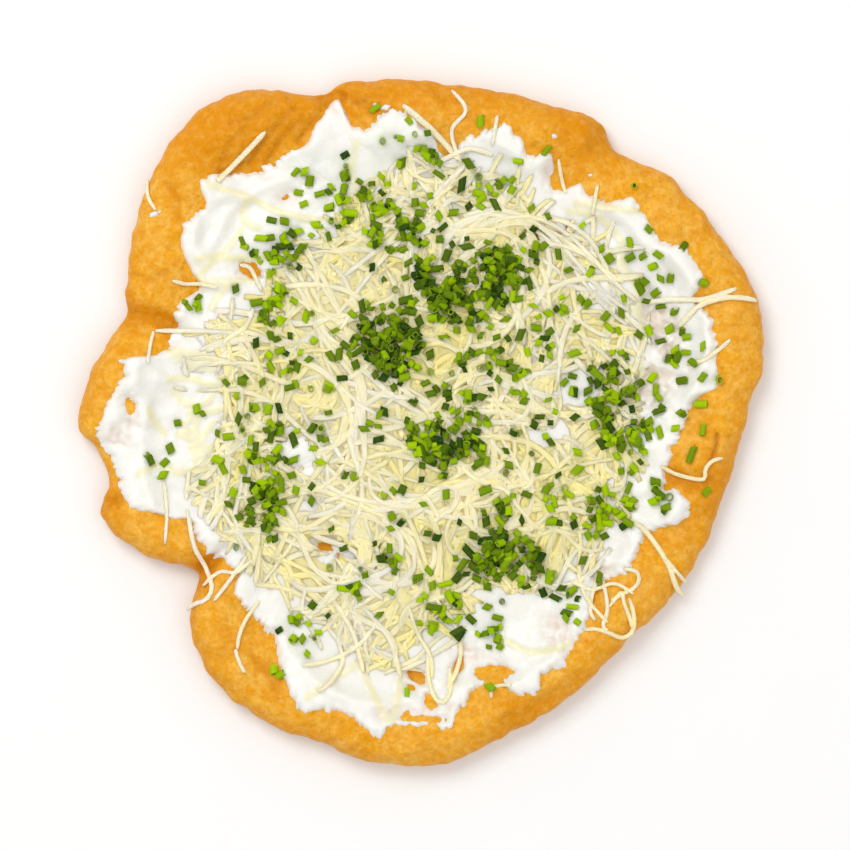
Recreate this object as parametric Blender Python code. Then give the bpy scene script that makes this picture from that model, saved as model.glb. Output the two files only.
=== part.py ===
"""A round fried flatbread, spread with soured cream and heaped with grated cheese and chopped chives.

The bread lies flat on its underside, with the origin under the middle of its box and +Z up.
Bread, cream and cheese share one net of bearings and rings, so that every layer follows the
facets of the layer under it with the same small gap. Sizes are in millimetres, and the meshes
are made in metres.
"""

import math
import random

import bmesh
import bpy
from mathutils import Vector, noise
from mathutils.bvhtree import BVHTree

MM = 0.001

# Outlines: (bearing in degrees from +X, distance from the middle), at the lobes, folds and bays.
BREAD_REACH = (
    (2, 115), (10, 122), (22, 126), (31, 124), (44, 123), (54, 117), (60, 123), (68, 120.5), (84, 119),
    (97, 121), (103, 122), (106, 120), (116, 130), (124, 134), (134, 130), (145, 122), (157, 112),
    (160, 110), (170, 116), (181, 120), (184, 114), (190, 111), (196, 116), (205, 108), (214, 94),
    (221, 107), (234, 116.5), (246, 118), (252, 117), (262, 120), (273, 120), (284, 114), (300, 109),
    (313, 105.5), (330, 108), (346, 109),
)
CREAM_REACH = (
    (2, 95), (8, 104), (18, 108), (23, 106), (30, 112), (38, 105), (46, 108), (52, 100), (60, 96),
    (65, 104), (69, 100), (74, 108), (84, 93), (93, 105), (101, 105), (104.5, 115), (111, 108),
    (119, 104), (132, 113), (141, 107), (149, 91), (165, 93), (170, 105), (183, 111), (190, 107),
    (203, 87), (217, 83), (224, 89), (235, 90), (246, 108), (254, 104), (262, 109), (276, 106),
    (283, 95), (288, 92), (293, 104), (299, 98), (309, 92), (318, 84), (331, 89), (342, 98), (349, 88),
)
CHEESE_REACH = (
    (0, 82), (20, 86), (40, 99), (58, 90), (74, 98), (90, 94), (106, 86), (122, 76), (136, 74),
    (152, 82), (168, 88), (184, 80), (198, 84), (215, 79), (236, 84), (258, 95), (276, 86), (291, 68),
    (306, 80), (320, 79), (340, 82),
)

# The fried dough.
RIM_HEIGHT = 14.5
FLOOR_HEIGHT = 8.0
EDGE_SHARE = 0.42  # height of the outermost line, as a share of the rim's
CROWN_INSET = 11.0  # from the outline to the top of the rim
SLOPE_RUN = 24.0  # from the top of the rim to the floor
UNDERSIDE_INSET = 9.0  # from the outline to where the bread rests
RIM_SWELLS = (  # (bearing, half width in degrees, height added)
    (18, 16, 1.6), (57, 7, -2.2), (66, 10, 1.8), (90, 12, 2.0), (105.5, 4, -3.8), (123, 14, 1.8),
    (150, 8, -1.0), (160, 5, -3.0), (172, 9, 0.8), (187, 7, -3.2), (203, 9, 1.2), (214, 5, -4.2),
    (232, 14, 1.4), (262, 14, 2.2), (300, 12, 0.6), (332, 12, -1.6),
)
RELIEF = ((31.0, 1.5), (13.0, 0.8))  # (width, height) of the dough's bubbles and dents
RELIEF_FADE = 5.0  # inset over which the relief grows from nothing

# The soured cream.
LAYER_GAP = 0.35
CREAM_EDGE = 0.9
CREAM_BODY = 3.0
CREAM_SHOULDER = 7.0
CREAM_WAVES = (19.0, 0.9)
SPOON_STROKES = (  # (centre x, centre y, radius, first bearing, last bearing, height) of a ridge
    (-45, -8, 52, 158, 215, 1.8), (-62, 8, 38, 120, 190, 1.5), (-80, 110, 62, 262, 330, 1.4),
    (-40, 52, 34, 95, 165, 1.5), (-66, 66, 13, 60, 250, 1.3), (62, 30, 38, -35, 60, 1.8),
    (50, 44, 34, -10, 75, 1.4), (-12, -60, 38, 215, 275, 1.6), (20, -52, 40, 262, 318, 1.6),
    (52, -10, 42, -70, -20, 1.4), (10, 66, 36, 40, 120, 1.3), (70, -48, 22, 250, 350, 1.2),
)
RIDGE_HALF_WIDTH = 2.6
GROOVE_HALF_WIDTH = 4.0
GROOVE_OFFSET = 5.5  # from the ridge's line inwards
GROOVE_DEPTH = 0.6  # as a share of the ridge's height
STROKE_ENDS = 12.0  # degrees over which a stroke fades out

# The heap of grated cheese.
CHEESE_EDGE = 0.8
CHEESE_BODY = 4.0
CHEESE_SHOULDER = 14.0
CHEESE_LUMPS = ((27.0, 2.6), (13.0, 1.2))
SHRED_WIDTH = 1.7
SHRED_THICKNESS = 1.4
SHRED_COUNT = 50
SHREDS_REACH = 0.92  # their middles spread over this share of the heap's reach
SHRED_LENGTHS = (24.0, 46.0)
SHRED_STEPS = 6
SHRED_CURLS = (-0.05, 0.05)  # turn in radians for each millimetre
SHRED_SINK = 0.3  # a shred's underside lies this far inside what carries it
SHRED_CLEAR = 0.9  # and this far above what it only passes over
SHRED_FEELERS = ((0, 0), (3, 0), (-3, 0), (0, 3), (0, -3))  # which is felt for at these offsets

# (x, y, heading in degrees, length, curl) of the shreds that reach out past the layer they start on.
SHREDS_FROM_HEAP = (
    (76, 45, 6, 37, 0.01), (78, -16, -8, 33, 0.02), (71, -28, -52, 44, -0.006), (56, -50, -20, 34, -0.07),
    (50, -55, -62, 30, 0.07), (-76, -29, 262, 36, 0.012), (-68, -38, 290, 34, -0.03), (-56, -56, 250, 28, 0.03),
    (46, 76, 76, 24, -0.02), (-66, 32, 178, 27, 0.0), (-40, 62, 118, 24, 0.03), (12, 80, 100, 26, -0.03),
)
SHREDS_FROM_CREAM = (
    (-69, 86, 130, 24, -0.06), (0, 98, 112, 18, -0.01), (93, 34, 22, 28, -0.024), (92, 26, 6, 24, 0.03),
    (-95, 25, 265, 16, 0.02), (22, -94, 200, 24, 0.04),
)

# The chopped chives: (centre x, centre y, spread, pieces) of each scattering.
CHIVE_WIDTH = 2.8
CHIVE_LENGTHS = (2.4, 5.6)
CHIVE_SIDES = 6
CHIVE_SINK = 0.5
CHIVE_CLEAR = 4.5  # from a chive's middle to another layer's outline
CHIVE_TO_SHRED = 5.5
SCATTER_START = 0.3  # keeps a scattering's first piece off its middle
SCATTER_UNEVEN = 0.15  # share by which distances from the middle vary
SCATTER_TURN = 0.4  # radians by which directions vary
CHIVES_ON_CHEESE = (
    (-13, 27, 9, 7), (12, 45, 8, 4), (28, 55, 9, 4), (29, -47, 10, 7), (12, -8, 7, 4), (66, 12, 7, 4),
    (-55, -7, 6, 3), (-56, -28, 8, 4), (2, 62, 7, 3), (-12, 70, 6, 2), (-50, 40, 7, 2), (9, -66, 6, 2),
    (64, -30, 8, 2),
)
CHIVES_ON_CREAM = (
    (88, 26, 8, 2), (88, 50, 8, 2), (-90, -12, 6, 2), (-42, 84, 7, 2), (50, -72, 6, 2), (-48, -78, 6, 2),
    (-8, -96, 5, 1), (-14, 94, 5, 1),
)
CHIVES_ON_BREAD = (
    (48, 100, 1, 1), (75.5, 83, 1, 1), (104, 6, 1, 1), (101, -3, 1, 1), (106, 17, 1, 1), (95, 60, 1, 1),
    (-49, -88, 1, 1), (-18, 113, 1, 1), (-34, -105, 1, 1),
)

# The shared net.
BEARINGS = 90
CHEESE_RINGS = ((0.24, 6), (0.48, 2), (0.7, 2), (0.87, 1), (1.0, 1))  # (share of the reach, bearings a step)
CREAM_RINGS = (0.55, 1.0)  # shares of the way from the cheese's outline to the cream's
RIM_RINGS = (0.3, 0.58, 0.82, 0.95, 1.0)  # shares of the way from there to the bread's outline
UNDERSIDE_INSETS = (1.4, 4.5, UNDERSIDE_INSET)
LEAST_BAND = 4.0  # the cheese stops at least this far inside the cream
GOLDEN_TURN = math.pi * (3 - math.sqrt(5))  # spreads things evenly round a middle
SEED = 11

SHARP_FROM = 50.0  # degrees between faces; flatter edges are shaded smooth

# Finishes: name, colour and roughness.
CRUST = ("fried_dough", (0.86, 0.42, 0.045, 1), 0.5)
CREAM = ("soured_cream", (0.92, 0.91, 0.86, 1), 0.35)
CHEESE = ("grated_cheese", (0.86, 0.78, 0.45, 1), 0.45)


def smooth(share):
    """Eases a share from 0 to 1."""
    share = min(1.0, max(0.0, share))
    return share * share * (3 - 2 * share)


def bell(offset, half_width):
    return math.exp(-((offset / half_width) ** 2))


def turn_between(bearing, other):
    """The signed angle from one bearing to another, in degrees."""
    return (bearing - other + 180) % 360 - 180


def reach(outline, bearing):
    """An outline's distance from the middle: a cubic between its points that never overshoots them."""
    count = len(outline)
    after = next((i for i, point in enumerate(outline) if point[0] > bearing % 360), 0)
    slopes = []
    for i in (after - 2, after - 1, after):
        first, second = outline[i % count], outline[(i + 1) % count]
        slopes.append((second[1] - first[1]) / ((second[0] - first[0]) % 360))

    def knot_slope(before, behind):
        return 2 * before * behind / (before + behind) if before * behind > 0 else 0.0

    start, end = outline[(after - 1) % count], outline[after % count]
    width = (end[0] - start[0]) % 360
    t = ((bearing - start[0]) % 360) / width
    m0 = knot_slope(slopes[0], slopes[1]) * width
    m1 = knot_slope(slopes[1], slopes[2]) * width
    return (
        (2 * t**3 - 3 * t**2 + 1) * start[1]
        + (t**3 - 2 * t**2 + t) * m0
        + (3 * t**2 - 2 * t**3) * end[1]
        + (t**3 - t**2) * m1
    )


def bearing_of(x, y):
    return math.degrees(math.atan2(y, x)) % 360


def waves(x, y, layers):
    """Soft lumps of the given (width, height) layers."""
    return sum(height * noise.noise(Vector((x / width, y / width, width))) for width, height in layers)


def rim_height(bearing):
    swell = sum(height * bell(turn_between(bearing, at), half) for at, half, height in RIM_SWELLS)
    return RIM_HEIGHT + swell


def bread_top(x, y):
    """Height of the dough's upper side: a puffed rim round a lower floor."""
    bearing = bearing_of(x, y)
    inset = max(0.0, reach(BREAD_REACH, bearing) - math.hypot(x, y))
    rim = rim_height(bearing)
    edge = EDGE_SHARE * rim
    if inset < CROWN_INSET:
        height = edge + (rim - edge) * math.sqrt(1 - (1 - inset / CROWN_INSET) ** 2)
    else:
        height = rim + (FLOOR_HEIGHT - rim) * smooth((inset - CROWN_INSET) / SLOPE_RUN)
    return height + waves(x, y, RELIEF) * smooth(inset / RELIEF_FADE)


def bread_underside(bearing, inset):
    """Height of the dough's lower side, which curls up at the rim and lies flat further in."""
    share = min(1.0, inset / UNDERSIDE_INSET)
    return EDGE_SHARE * rim_height(bearing) * (1 - math.sqrt(1 - (1 - share) ** 2))


def stroke_height(x, y, stroke):
    """A ridge that a spoon leaves along an arc, with a groove on its inner side."""
    centre_x, centre_y, radius, first, last, height = stroke
    off = math.hypot(x - centre_x, y - centre_y) - radius
    middle, half = (first + last) / 2, (last - first) / 2
    turn = abs(turn_between(bearing_of(x - centre_x, y - centre_y), middle))
    ends = smooth((half - turn) / STROKE_ENDS + 0.5)
    groove = GROOVE_DEPTH * bell(off + GROOVE_OFFSET, GROOVE_HALF_WIDTH)
    return height * ends * (bell(off, RIDGE_HALF_WIDTH) - groove)


def cream_top(x, y):
    inset = reach(CREAM_REACH, bearing_of(x, y)) - math.hypot(x, y)
    ease = smooth(inset / CREAM_SHOULDER)
    swirls = sum(stroke_height(x, y, stroke) for stroke in SPOON_STROKES) + waves(x, y, (CREAM_WAVES,))
    depth = CREAM_EDGE + ease * (CREAM_BODY - CREAM_EDGE + swirls)
    return bread_top(x, y) + LAYER_GAP + max(CREAM_EDGE, depth)


def cheese_reach(bearing):
    return min(reach(CHEESE_REACH, bearing), reach(CREAM_REACH, bearing) - LEAST_BAND)


def cheese_top(x, y):
    inset = cheese_reach(bearing_of(x, y)) - math.hypot(x, y)
    ease = smooth(inset / CHEESE_SHOULDER)
    depth = CHEESE_EDGE + ease * (CHEESE_BODY - CHEESE_EDGE + waves(x, y, CHEESE_LUMPS))
    return cream_top(x, y) + LAYER_GAP + max(CHEESE_EDGE, depth)


def net_radii(bearing):
    """Distances of the net's rings from the middle, at one bearing."""
    cheese = cheese_reach(bearing)
    cream = reach(CREAM_REACH, bearing)
    bread = reach(BREAD_REACH, bearing)
    radii = [share * cheese for share, _ in CHEESE_RINGS]
    radii += [cheese + share * (cream - cheese) for share in CREAM_RINGS]
    return radii + [cream + share * (bread - cream) for share in RIM_RINGS]


def make_net():
    """For each ring, its points in the plane. The inner rings skip bearings, to keep their steps even."""
    columns = []
    for bearing in (360 * i / BEARINGS for i in range(BEARINGS)):
        angle = math.radians(bearing)
        columns.append([(r * math.cos(angle), r * math.sin(angle)) for r in net_radii(bearing)])
    steps = [step for _, step in CHEESE_RINGS] + [1] * len(CREAM_RINGS + RIM_RINGS)
    return [ring[::step] for ring, step in zip(zip(*columns), steps)]


def add_object(name, bm, collection=None):
    """Makes an object in metres from a mesh in millimetres."""
    bmesh.ops.scale(bm, vec=(MM, MM, MM), verts=bm.verts)
    mesh = bpy.data.meshes.new(name)
    bm.to_mesh(mesh)
    bm.free()
    made = bpy.data.objects.new(name, mesh)
    (collection or bpy.context.scene.collection).objects.link(made)
    return made


def bridge(bm, inner, outer, upper):
    """Joins two rings by triangles, the same way on a layer's upper and lower side.

    The outer ring has as many points as the inner one, or some times as many.
    """
    times = len(outer) // len(inner)
    for i, near in enumerate(inner):
        fringe = [outer[(times * i + j) % len(outer)] for j in range(times + 1)]
        cells = [(near, first, second) for first, second in zip(fringe, fringe[1:])]
        cells.append((near, fringe[-1], inner[(i + 1) % len(inner)]))
        for corners in cells:
            bm.faces.new(corners if upper else corners[::-1])


def fan(bm, centre, ring, upper):
    for i, vert in enumerate(ring):
        corners = (centre, vert, ring[(i + 1) % len(ring)])
        bm.faces.new(corners if upper else corners[::-1])


def add_side(bm, net, height, upper):
    """One side of a layer over the net's rings, from its middle out. Returns its outermost ring."""
    centre = bm.verts.new((0, 0, height(0, 0)))
    rings = [[bm.verts.new((x, y, height(x, y))) for x, y in ring] for ring in net]
    fan(bm, centre, rings[0], upper)
    for inner, outer in zip(rings, rings[1:]):
        bridge(bm, inner, outer, upper)
    return rings[-1]


def add_layer(name, net, top, bottom):
    """A layer whose two sides lie on the same rings, closed by an upright edge."""
    bm = bmesh.new()
    upper = add_side(bm, net, top, True)
    lower = add_side(bm, net, bottom, False)
    bridge(bm, upper, lower, True)
    return add_object(name, bm)


def add_underside_ring(bm, rim, inset):
    """A ring of the bread's underside, as far inside the rim's points as asked."""
    ring = []
    for vert in rim:
        bearing = bearing_of(vert.co.x, vert.co.y)
        radius = reach(BREAD_REACH, bearing) - inset
        angle = math.radians(bearing)
        height = bread_underside(bearing, inset)
        ring.append(bm.verts.new((radius * math.cos(angle), radius * math.sin(angle), height)))
    return ring


def add_bread(net):
    """The dough: its upper side, the curled edge and the flat underside."""
    bm = bmesh.new()
    rim = add_side(bm, net, bread_top, True)
    last = rim
    for inset in UNDERSIDE_INSETS:
        ring = add_underside_ring(bm, rim, inset)
        bridge(bm, last, ring, True)
        last = ring
    bm.faces.new(last[::-1])
    return add_object("flatbread", bm)


def surface_of(*objects):
    """What lies under a topping: the height in millimetres of the highest of these objects."""
    trees = []
    for obj in objects:
        bm = bmesh.new()
        bm.from_mesh(obj.data)
        trees.append(BVHTree.FromBMesh(bm))
        bm.free()

    def height(x, y):
        hits = (tree.ray_cast(Vector((x * MM, y * MM, 1)), Vector((0, 0, -1)))[0] for tree in trees)
        return max((hit.z / MM for hit in hits if hit), default=None)

    return height


def route_of(x, y, heading, length, curl):
    """The points of a shred in the plane, along an even curve from its start."""
    step = length / SHRED_STEPS
    angle = math.radians(heading)
    points = [(x, y)]
    for _ in range(SHRED_STEPS):
        x, y = x + step * math.cos(angle), y + step * math.sin(angle)
        angle += curl * step
        points.append((x, y))
    return points


def add_shred(collection, route, carrier, passed):
    """A four-sided shred that sinks a little into its carrier and keeps clear of what it passes over."""
    half_width, half_thickness = SHRED_WIDTH / 2, SHRED_THICKNESS / 2
    heights = []
    for x, y in route:
        spots = ((x + dx, y + dy) for dx, dy in SHRED_FEELERS)
        lows = [(carrier(x, y), -SHRED_SINK)] + [(passed(*spot), SHRED_CLEAR) for spot in spots]
        lows = [height + gap for height, gap in lows if height is not None]
        if not lows:
            return
        heights.append(max(lows) + half_thickness)
    bm = bmesh.new()
    rings = []
    for i, (x, y) in enumerate(route):
        before, behind = route[max(i - 1, 0)], route[min(i + 1, len(route) - 1)]
        along = Vector((behind[0] - before[0], behind[1] - before[1], 0)).normalized()
        across = Vector((-along.y, along.x, 0)) * half_width
        middle = Vector((x, y, heights[i]))
        up = Vector((0, 0, half_thickness))
        corners = (middle + across + up, middle - across + up, middle - across - up, middle + across - up)
        rings.append([bm.verts.new(corner) for corner in corners])
    for first, second in zip(rings, rings[1:]):
        bridge(bm, second, first, True)
    bm.faces.new(rings[0][::-1])
    bm.faces.new(rings[-1])
    bmesh.ops.recalc_face_normals(bm, faces=bm.faces)
    add_object("shred", bm, collection)


def add_chive(collection, x, y, under, draw):
    """A short cut stalk, lying along what is under it and sunk a little into it."""
    length = draw.uniform(*CHIVE_LENGTHS)
    heading = draw.uniform(0, math.tau)
    across_x, across_y = length / 2 * math.cos(heading), length / 2 * math.sin(heading)
    spots = ((x - across_x, y - across_y), (x + across_x, y + across_y))
    heights = [under(*spot) for spot in spots]
    if None in heights:
        return
    first, last = (Vector((*spot, height)) for spot, height in zip(spots, heights))
    bm = bmesh.new()
    radius = CHIVE_WIDTH / 2
    bmesh.ops.create_cone(
        bm, cap_ends=True, cap_tris=False, segments=CHIVE_SIDES, radius1=radius, radius2=radius, depth=length
    )
    made = add_object("chive", bm, collection)
    made.location = ((first + last) / 2 + Vector((0, 0, radius - CHIVE_SINK))) * MM
    made.rotation_euler = (last - first).to_track_quat("Z", "Y").to_euler()


def scatter(groups, draw):
    """Spots for the chives: each group is spread evenly round its centre, with some unevenness."""
    for centre_x, centre_y, spread, pieces in groups:
        for i in range(pieces):
            radius = spread * math.sqrt((i + SCATTER_START) / pieces)
            radius *= draw.uniform(1 - SCATTER_UNEVEN, 1 + SCATTER_UNEVEN)
            angle = i * GOLDEN_TURN + draw.uniform(-SCATTER_TURN, SCATTER_TURN)
            yield centre_x + radius * math.cos(angle), centre_y + radius * math.sin(angle)


def shells(bm):
    """The mesh's separate closed surfaces, each as a set of vertices."""
    left = set(bm.verts)
    while left:
        shell, edge = set(), {left.pop()}
        while edge:
            shell |= edge
            edge = {e.other_vert(v) for v in edge for e in v.link_edges} - shell
        left -= shell
        yield shell


def keep_largest_shell(mesh):
    """Fills sealed hollows and drops loose scraps, which leaves one closed surface."""
    bm = bmesh.new()
    bm.from_mesh(mesh)
    found = sorted(shells(bm), key=len)
    bmesh.ops.delete(bm, geom=[v for shell in found[:-1] for v in shell], context="VERTS")
    bm.to_mesh(mesh)
    bm.free()


def fuse(base, collection):
    """Joins a collection's pieces to their base as one solid, and removes them."""
    union = base.modifiers.new("union", "BOOLEAN")
    union.operation = "UNION"
    union.solver = "EXACT"
    union.operand_type = "COLLECTION"
    union.collection = collection
    graph = bpy.context.evaluated_depsgraph_get()
    joined = bpy.data.meshes.new_from_object(base.evaluated_get(graph))
    base.modifiers.clear()
    base.data = joined
    keep_largest_shell(joined)
    for piece in list(collection.objects):
        bpy.data.objects.remove(piece)
    bpy.data.collections.remove(collection)


def new_collection(name):
    made = bpy.data.collections.new(name)
    bpy.context.scene.collection.children.link(made)
    return made


def heap_routes():
    """Curled shreds spread evenly over the heap, the ones that stay on it."""
    draw = random.Random(SEED)
    for i in range(SHRED_COUNT):
        angle = i * GOLDEN_TURN
        radius = SHREDS_REACH * math.sqrt((i + 0.5) / SHRED_COUNT) * cheese_reach(math.degrees(angle))
        heading = draw.uniform(0, 360)
        length, curl = draw.uniform(*SHRED_LENGTHS), draw.uniform(*SHRED_CURLS)
        middle_x, middle_y = route_of(0, 0, heading, length, curl)[SHRED_STEPS // 2]
        x, y = radius * math.cos(angle) - middle_x, radius * math.sin(angle) - middle_y
        route = route_of(x, y, heading, length, curl)
        if all(cheese_reach(bearing_of(*point)) > math.hypot(*point) for point in route):
            yield route


def add_shreds(base, routes, *passed):
    """Collects one layer's shreds, to be fused to it. They pass clear over the other layers."""
    pieces = new_collection(f"shreds on {base.name}")
    carrier, passed_over = surface_of(base), surface_of(*passed)
    for route in routes:
        add_shred(pieces, route, carrier, passed_over)
    return pieces


def clear_of(x, y, routes):
    """True if a chive's spot keeps away from the shreds of these routes."""
    return all(math.hypot(x - px, y - py) > CHIVE_TO_SHRED for route in routes for px, py in route)


def add_chives(base, groups, allowed):
    """Collects one layer's chives, to be fused to it."""
    draw = random.Random(SEED + len(groups))
    pieces = new_collection(f"chives on {base.name}")
    under = surface_of(base)
    for x, y in scatter(groups, draw):
        if allowed(x, y):
            add_chive(pieces, x, y, under, draw)
    return pieces


def dress(obj, name, colour, roughness):
    """Shades an object smooth between its sharp edges, and gives it a material of its own."""
    obj.data.shade_smooth()
    obj.data.set_sharp_from_angle(angle=math.radians(SHARP_FROM))
    material = bpy.data.materials.new(name)
    material.use_nodes = True
    shader = material.node_tree.nodes["Principled BSDF"]
    shader.inputs["Base Color"].default_value = colour
    shader.inputs["Roughness"].default_value = roughness
    shader.inputs["Metallic"].default_value = 0.0
    obj.data.materials.clear()
    obj.data.materials.append(material)


def main():
    for obj in list(bpy.data.objects):
        bpy.data.objects.remove(obj)
    net = make_net()
    cheese_rings = len(CHEESE_RINGS)
    cream_rings = cheese_rings + len(CREAM_RINGS)

    def above_bread(x, y):
        return bread_top(x, y) + LAYER_GAP

    def above_cream(x, y):
        return cream_top(x, y) + LAYER_GAP

    bread = add_bread(net)
    cream = add_layer("soured_cream", net[:cream_rings], cream_top, above_bread)
    cheese = add_layer("grated_cheese", net[:cheese_rings], cheese_top, above_cream)

    from_heap = [route_of(*shred) for shred in SHREDS_FROM_HEAP]
    from_cream = [route_of(*shred) for shred in SHREDS_FROM_CREAM]
    strays = from_heap + from_cream

    def on_heap(x, y):
        return math.hypot(x, y) < cheese_reach(bearing_of(x, y)) - CHIVE_CLEAR

    def on_bare_cream(x, y):
        bearing, radius = bearing_of(x, y), math.hypot(x, y)
        bare = cheese_reach(bearing) + CHIVE_CLEAR < radius < reach(CREAM_REACH, bearing) - CHIVE_CLEAR
        return bare and clear_of(x, y, strays)

    def on_bare_bread(x, y):
        bare = math.hypot(x, y) > reach(CREAM_REACH, bearing_of(x, y)) + CHIVE_CLEAR
        return bare and clear_of(x, y, strays)

    fuse(bread, add_chives(bread, CHIVES_ON_BREAD, on_bare_bread))
    fuse(cream, add_shreds(cream, from_cream, bread))
    fuse(cream, add_chives(cream, CHIVES_ON_CREAM, on_bare_cream))
    fuse(cheese, add_shreds(cheese, list(heap_routes()) + from_heap, cream, bread))
    fuse(cheese, add_chives(cheese, CHIVES_ON_CHEESE, on_heap))

    dress(bread, *CRUST)
    dress(cream, *CREAM)
    dress(cheese, *CHEESE)


main()
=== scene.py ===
"""Looks of a fried flatbread with soured cream, grated cheese and chopped chives.

The shapes are worked out in millimetres and stored in metres. The outlines and heights are
those of the part's source, with the finer forms added. Each topping is laid on a height map of
what lies under it, so that everything rests on something from every side.
"""

import logging
import math
from collections.abc import Callable, Iterator
from dataclasses import dataclass, field
from enum import Enum

import bpy
import numpy as np
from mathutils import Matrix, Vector, noise


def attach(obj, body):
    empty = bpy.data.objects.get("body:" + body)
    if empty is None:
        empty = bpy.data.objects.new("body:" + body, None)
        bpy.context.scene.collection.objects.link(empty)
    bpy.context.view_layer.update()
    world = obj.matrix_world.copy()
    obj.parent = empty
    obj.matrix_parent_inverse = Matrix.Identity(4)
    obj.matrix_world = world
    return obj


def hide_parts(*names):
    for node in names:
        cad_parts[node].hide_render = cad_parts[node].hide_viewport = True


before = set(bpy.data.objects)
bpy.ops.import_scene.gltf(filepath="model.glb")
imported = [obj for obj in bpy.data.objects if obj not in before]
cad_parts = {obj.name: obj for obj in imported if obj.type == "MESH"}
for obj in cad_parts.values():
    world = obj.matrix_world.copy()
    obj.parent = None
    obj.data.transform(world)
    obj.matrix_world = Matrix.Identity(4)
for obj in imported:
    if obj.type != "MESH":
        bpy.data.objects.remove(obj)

Array = np.ndarray
Colour = tuple[float, float, float]
Pairs = tuple[tuple[float, float], ...]  # points in the plan, or (width, height) of soft lumps
MM = 0.001
BODY = "root"
GOLDEN_ANGLE = 137.508  # degrees, spreads things evenly round a middle
EVEN_STEPS = (0.7548777, 0.5698403)  # spreads things evenly over a square
SHARP_FROM = 50  # degrees between faces
GROUND_BEYOND = 5.0  # height of the ground outside the bread
log = logging.getLogger("flatbread")


# Numbers and fields


def each(kind: Callable, *rows: tuple) -> tuple:
    """A table of things of one kind.

    Args:
        kind: What each row describes.
        rows: The values for each.

    Returns:
        The things.
    """
    return tuple(kind(*row) for row in rows)


def smooth(share: Array) -> Array:
    """Eases a share from 0 to 1."""
    share = np.clip(share, 0.0, 1.0)
    return share * share * (3 - 2 * share)


def bell(offset: Array, half_width: float) -> Array:
    """A bell curve of height 1."""
    return np.exp(-((offset / half_width) ** 2))


def turn_between(bearing: Array, other: float) -> Array:
    """The signed angle from one bearing to another, in degrees."""
    return (bearing - other + 180) % 360 - 180


def bearing_of(x: Array, y: Array) -> Array:
    """Bearings of points round the middle, in degrees."""
    return np.degrees(np.arctan2(y, x)) % 360


def waves(x: Array, y: Array, *layers: tuple[float, float]) -> Array:
    """Soft lumps, each layer given by its width and its height.

    Args:
        x, y: Points, as arrays of one shape.
        layers: (width, height) pairs in millimetres.

    Returns:
        The lumps' heights at the points.
    """
    total = np.zeros(x.size)
    for width, height in layers:
        spots = zip((x / width).flat, (y / width).flat)
        total += height * np.fromiter((noise.noise((a, b, width)) for a, b in spots), float, x.size)
    return total.reshape(x.shape)


def along_line(x: Array, y: Array, points: Pairs) -> Array:
    """Distance of each point from a bent line."""
    nearest = np.full(np.shape(x), np.inf)
    for (ax, ay), (bx, by) in zip(points, points[1:]):
        dx, dy = bx - ax, by - ay
        share = np.clip(((x - ax) * dx + (y - ay) * dy) / (dx * dx + dy * dy), 0, 1)
        nearest = np.minimum(nearest, np.hypot(x - ax - share * dx, y - ay - share * dy))
    return nearest


@dataclass(frozen=True)
class Outline:
    """A closed outline round the middle.

    Attributes:
        turns: (bearing in degrees, distance) at its lobes, folds and bays.
    """

    turns: Pairs

    def reach(self, bearing: Array) -> Array:
        """The outline's distance from the middle, by a cubic that never overshoots its turns."""
        at, far = np.array(self.turns, float).T
        step = np.diff(at, append=at[0] + 360)
        rise = np.diff(far, append=far[0]) / step
        before = np.roll(rise, 1)
        steady = rise * before > 0
        slope = np.where(steady, 2 * rise * before / np.where(steady, rise + before, 1), 0)
        i = np.searchsorted(at, bearing % 360, side="right") - 1
        k = (i + 1) % len(at)
        t = ((bearing - at[i]) % 360) / step[i]
        return (
            (2 * t**3 - 3 * t**2 + 1) * far[i]
            + (t**3 - 2 * t**2 + t) * slope[i] * step[i]
            + (3 * t**2 - 2 * t**3) * far[k]
            + (t**3 - t**2) * slope[k] * step[i]
        )

    def inset(self, x: Array, y: Array) -> Array:
        """How far inside the outline points are, towards the middle."""
        return self.reach(bearing_of(x, y)) - np.hypot(x, y)


@dataclass(frozen=True)
class Patch:
    """An ellipse with a soft edge: a bare place, a hole or a scattering.

    Attributes:
        x, y: Its middle.
        wide, high: Its half sizes before it is turned.
        turn: Degrees from +X.
        weight: How strongly it counts.
    """

    x: float
    y: float
    wide: float
    high: float
    turn: float = 0.0
    weight: float = 1.0

    def outside(self, x: Array, y: Array) -> Array:
        """Rough distance outside its edge, negative inside."""
        c, s = math.cos(math.radians(self.turn)), math.sin(math.radians(self.turn))
        u, v = (x - self.x) * c + (y - self.y) * s, (y - self.y) * c - (x - self.x) * s
        return (np.hypot(u / self.wide, v / self.high) - 1) * min(self.wide, self.high)


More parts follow.
